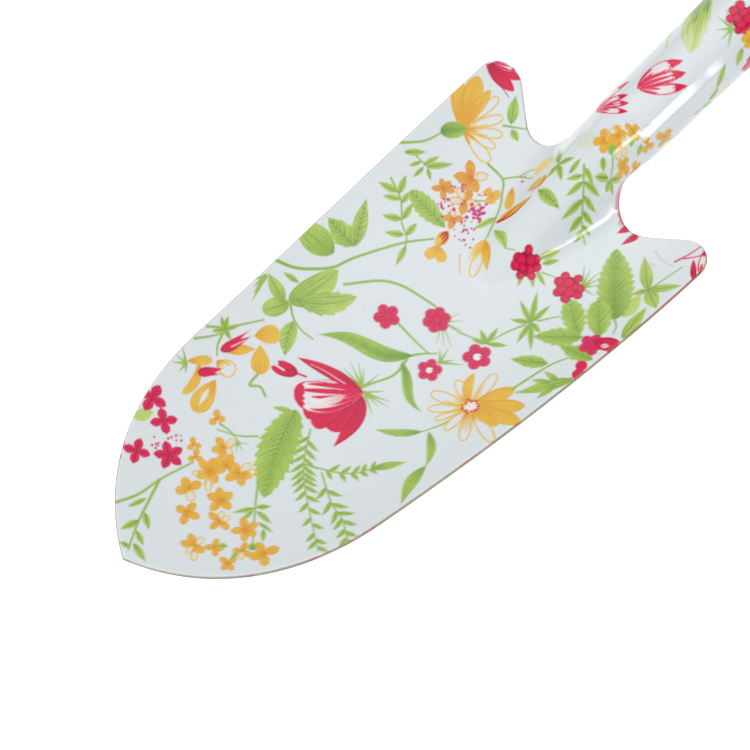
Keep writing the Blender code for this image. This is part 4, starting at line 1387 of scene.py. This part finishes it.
def handle(look):
    """The turned grip with its spigot, the rivet's hole, the hanging hole and the eyelet's two seats."""
    end = -SPIGOT_LENGTH
    shoulder = [(GRIP[0][1] - 0.8, SHOULDER_S), (spigot_radius(0), SHOULDER_S)]
    spigot = [(spigot_radius(s), s) for s in np.linspace(0, -FLARE_LENGTH, 9)]
    spigot += [(spigot_radius(end), end + 1), (spigot_radius(end) - 1, end), (0.0, end)]
    profile = [(0.0, BUTT_S), (BUTT_FLAT_RADIUS, BUTT_S)] + grip_curve() + shoulder + spigot
    made = turned("handle_turned", filleted(profile, 0.5, closed=False), along_axis(0), look, closed=False)
    cut_away(made, RIVET_RADIUS + GAP, THROUGH, across(RIVET_S))
    cut_away(made, HANG_HOLE_RADIUS, THROUGH, upright(HANG_S))
    for side in (1, -1):
        seat = Matrix.Translation((0, 0, side * (seat_height() + SEAT_CUT / 2) * MM))
        cut_away(made, EYELET_FLANGE_RADIUS + GAP, SEAT_CUT, upright(HANG_S) @ seat)
    return made


def collar(look):
    """Turned bead between the socket's mouth and the handle's shoulder."""
    inner, length, radius = spigot_radius(0) + GAP, COLLAR_LENGTH, COLLAR_RADIUS
    outer = [(radius - 1.2, length), (radius - 0.5, length - 0.4)]
    for angle in np.radians(np.linspace(60, -60, 25)):
        bulge = (length / 2 - 1.1) / math.sin(math.radians(60))
        outer.append((radius - 1.0 + math.cos(angle) * 1.2, length / 2 + bulge * math.sin(angle)))
    outer += [(radius - 0.5, 0.4), (radius - 1.2, 0.0), (inner, 0.0), (inner, length)]
    return turned("collar_turned", filleted(outer, 0.12), along_axis(GAP), look)


def dome(base, scale=1.0):
    """Profile of a rivet head, from its top down to its edge."""
    angles = np.linspace(math.pi / 2, 0, 14)
    radius = RIVET_HEAD_RADIUS * scale
    profile = [(radius * math.cos(a), base + RIVET_HEAD_HEIGHT * math.sin(a)) for a in angles]
    return [(0.0, profile[0][1])] + profile[1:]


def wall_distance():
    """From the handle's axis to just clear of the socket's wall, where the rivet is."""
    return neck_radius(SOCKET_LENGTH + RIVET_S) + 0.1 + GAP


def socket_rivet(look):
    head = wall_distance()
    tail = head + BURR_THICKNESS + GAP
    profile = dome(head) + [(RIVET_RADIUS, head), (RIVET_RADIUS, -tail)]
    profile += [(r, -h) for r, h in dome(tail, 0.85)][::-1]
    profile = filleted(profile, 0.1, closed=False)
    return turned("socket_rivet_turned", profile, across(RIVET_S), look, 96, closed=False)


def rivet_burr(look):
    inner = RIVET_RADIUS + GAP
    low = -(wall_distance() + BURR_THICKNESS)
    high = low + BURR_THICKNESS
    profile = [(BURR_RADIUS, high), (BURR_RADIUS, low), (inner, low), (inner, high)]
    return turned("rivet_burr_turned", filleted(profile, 0.22), across(RIVET_S), look, 96)


def hang_eyelet(look):
    """Liner of the hang hole: a flange in front, a barrel, and its rolled end behind."""
    seat = seat_height()
    outer = HANG_HOLE_RADIUS - GAP
    inner = outer - EYELET_WALL
    top = seat + GAP + EYELET_FLANGE
    lip = top + GAP
    profile = [
        (inner, top), (EYELET_FLANGE_RADIUS, top), (EYELET_FLANGE_RADIUS, seat + GAP), (outer, seat + GAP),
        (outer, -lip), (outer + 1.1, -lip), (outer + 1.1, -lip - 0.7), (inner, -lip - 0.7),
    ]
    return turned("hang_eyelet_turned", filleted(profile, 0.34), upright(HANG_S), look)


def eyelet_washer(look):
    high = -(seat_height() + GAP)
    low = high - EYELET_FLANGE
    outer, inner = EYELET_FLANGE_RADIUS, HANG_HOLE_RADIUS
    profile = [(outer, high), (outer, low), (inner, low), (inner, high)]
    return turned("eyelet_washer_turned", filleted(profile, 0.2), upright(HANG_S), look)


# ---------------------------------------------------------------- stage
FLOOR_SIZE = 6.0
FLOOR_DROP = 0.0005
FLOOR_GLOW = 0.7
SKY_LOW = 0.3
SKY_HIGH = 1.5
SKY_BELOW = 0.6
# The sky's bright band fades to SKY_LOW along each axis of the tool, between these two cosines
SKY_FADES = (
    ((0, 1, 0), -0.24, -0.18), ((0, -1, 0), -0.6, -0.1), ((0, 0, 1), 0.1, 0.55), ((-1, 0, 0), -0.75, 0.1),
    ((1, 0, 0), -0.95, -0.5),
)


def view_axes():
    ca, sa = math.cos(VIEW_AZIMUTH), math.sin(VIEW_AZIMUTH)
    ce, se = math.cos(VIEW_ELEVATION), math.sin(VIEW_ELEVATION)
    right = np.array([ca, sa, 0.0])
    ahead = np.array([-sa * ce, ca * ce, -se])
    return right, ahead, np.cross(right, ahead)


def add_camera():
    right, ahead, up = view_axes()
    aim = VIEW_TARGET + VIEW_OFFSET[0] * right + VIEW_OFFSET[1] * up
    eye = VIEW_TARGET - VIEW_DISTANCE * ahead
    look = unit(aim - eye)
    side = unit(np.cross(look, up))
    data = bpy.data.cameras.new("view")
    data.lens = VIEW_LENS
    data.sensor_width = 36.0
    camera = in_scene("view", data)
    camera.matrix_world = facing(eye, [side, np.cross(side, look), -look])
    bpy.context.scene.camera = camera


def add_floor():
    """A pale lit floor, with a very faint mottle. The sky below it, not the floor, lights the undersides."""
    bpy.ops.mesh.primitive_plane_add(size=FLOOR_SIZE, location=(0, 0, -FLOOR_DROP))
    floor = bpy.context.object
    floor.name = "floor"
    look = Look("floor_white", Roughness=0.9, Emission_Color=(1, 1, 1, 1), Emission_Strength=FLOOR_GLOW)
    look.into("Base Color", look.ramp(look.noise((0.02, 0.02, 0.02)), (0.3, (0.89,) * 3), (0.7, (0.91,) * 3)))
    floor.data.materials.append(look.material)
    floor.visible_diffuse = False


def add_softbox(name, low, high, aim, width, radiance, glossy=True, diffuse=True):
    """A strip of light from low to high, facing aim, all in the tool's frame in mm."""
    low, high, aim = (np.array(p, float) for p in (low, high, aim))
    centre = (low + high) / 2
    data = bpy.data.lights.new(name, "AREA")
    data.shape = "RECTANGLE"
    data.size, data.size_y = width * MM, np.linalg.norm(high - low) * MM
    data.energy = math.pi * data.size * data.size_y * radiance
    back = unit(centre - aim)
    long = unit(high - low - back * ((high - low) @ back))
    lamp = in_scene(name, data)
    lamp.matrix_world = facing(centre, [np.cross(long, back), long, back])
    lamp.visible_glossy = glossy
    lamp.visible_diffuse = diffuse


def add_sky():
    """A bright band overhead, with a crisp border towards the tip and a soft one towards the handle."""
    world = bpy.data.worlds.new("studio")
    bpy.context.scene.world = world
    sky = Nodes(world)
    way = sky.add("TexCoord").outputs["Generated"]
    band = 1.0
    for axis, start, end in SKY_FADES:
        dot = sky.add("VectorMath", {"operation": "DOT_PRODUCT"}, way, rest_place(np.array(axis, float)))
        fade = sky.add("MapRange", {"interpolation_type": "SMOOTHSTEP"}, dot.outputs["Value"], start, end)
        band = sky.add("Math", {"operation": "MULTIPLY"}, band, fade.outputs["Result"]).outputs["Value"]
    level = sky.add("MapRange", None, band, 0, 1, SKY_LOW, SKY_HIGH)
    height = sky.add("SeparateXYZ", None, way).outputs["Z"]
    below = sky.add("MapRange", None, height, -0.05, -0.25, 0, SKY_BELOW)
    total = sky.add("Math", {"operation": "ADD"}, level.outputs["Result"], below.outputs["Result"])
    background = sky.nodes["Background"]
    sky.plug(total.outputs["Value"], background.inputs["Strength"])
    background.inputs["Color"].default_value = (1, 1, 1, 1)


bpy.context.scene.view_settings.view_transform = "Standard"
add_camera()
add_floor()
add_sky()
add_softbox("key", (-390, -2540, 2510), (-390, -540, 2510), (0, 90, 0), 2000, 3.65, glossy=False)
add_softbox("fill", (2600, -800, 600), (2400, -700, 1600), (0, 150, 20), 2000, 1.6, glossy=False)
add_softbox("neck_side", (320, 270, 5), (315, 268, 95), (8, 205, 28), 150, 4.5, glossy=False)
add_softbox("neck_shine", (968, 173, 191), (805, 50, 620), (7, 170, 26), 215, 8.0, diffuse=False)
add_softbox("foot_shine", (835, -75, 545), (690, -104, 705), (11, 143, 8), 110, 9.0, diffuse=False)
steel = metal_material("bright_steel_turned", linear(205, 206, 208), linear(180, 182, 186), 0.26, 3.0)
brass = metal_material("brass_turned", linear(222, 184, 112), linear(200, 160, 92), 0.2, 3.0)
for piece, node, slot in (
    (printed_sheet(enamel_material()), "blade_and_socket", "printed_enamel"),
    (handle(ash_material()), "handle", "varnished_ash"),
    (collar(brass), "collar", "brass"),
    (socket_rivet(steel), "socket_rivet", "bright_steel"),
    (rivet_burr(steel), "rivet_burr", "bright_steel"),
    (hang_eyelet(brass), "hang_eyelet", "brass"),
    (eyelet_washer(brass), "eyelet_washer", "brass"),
):
    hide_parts(node)
    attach(piece, "root")
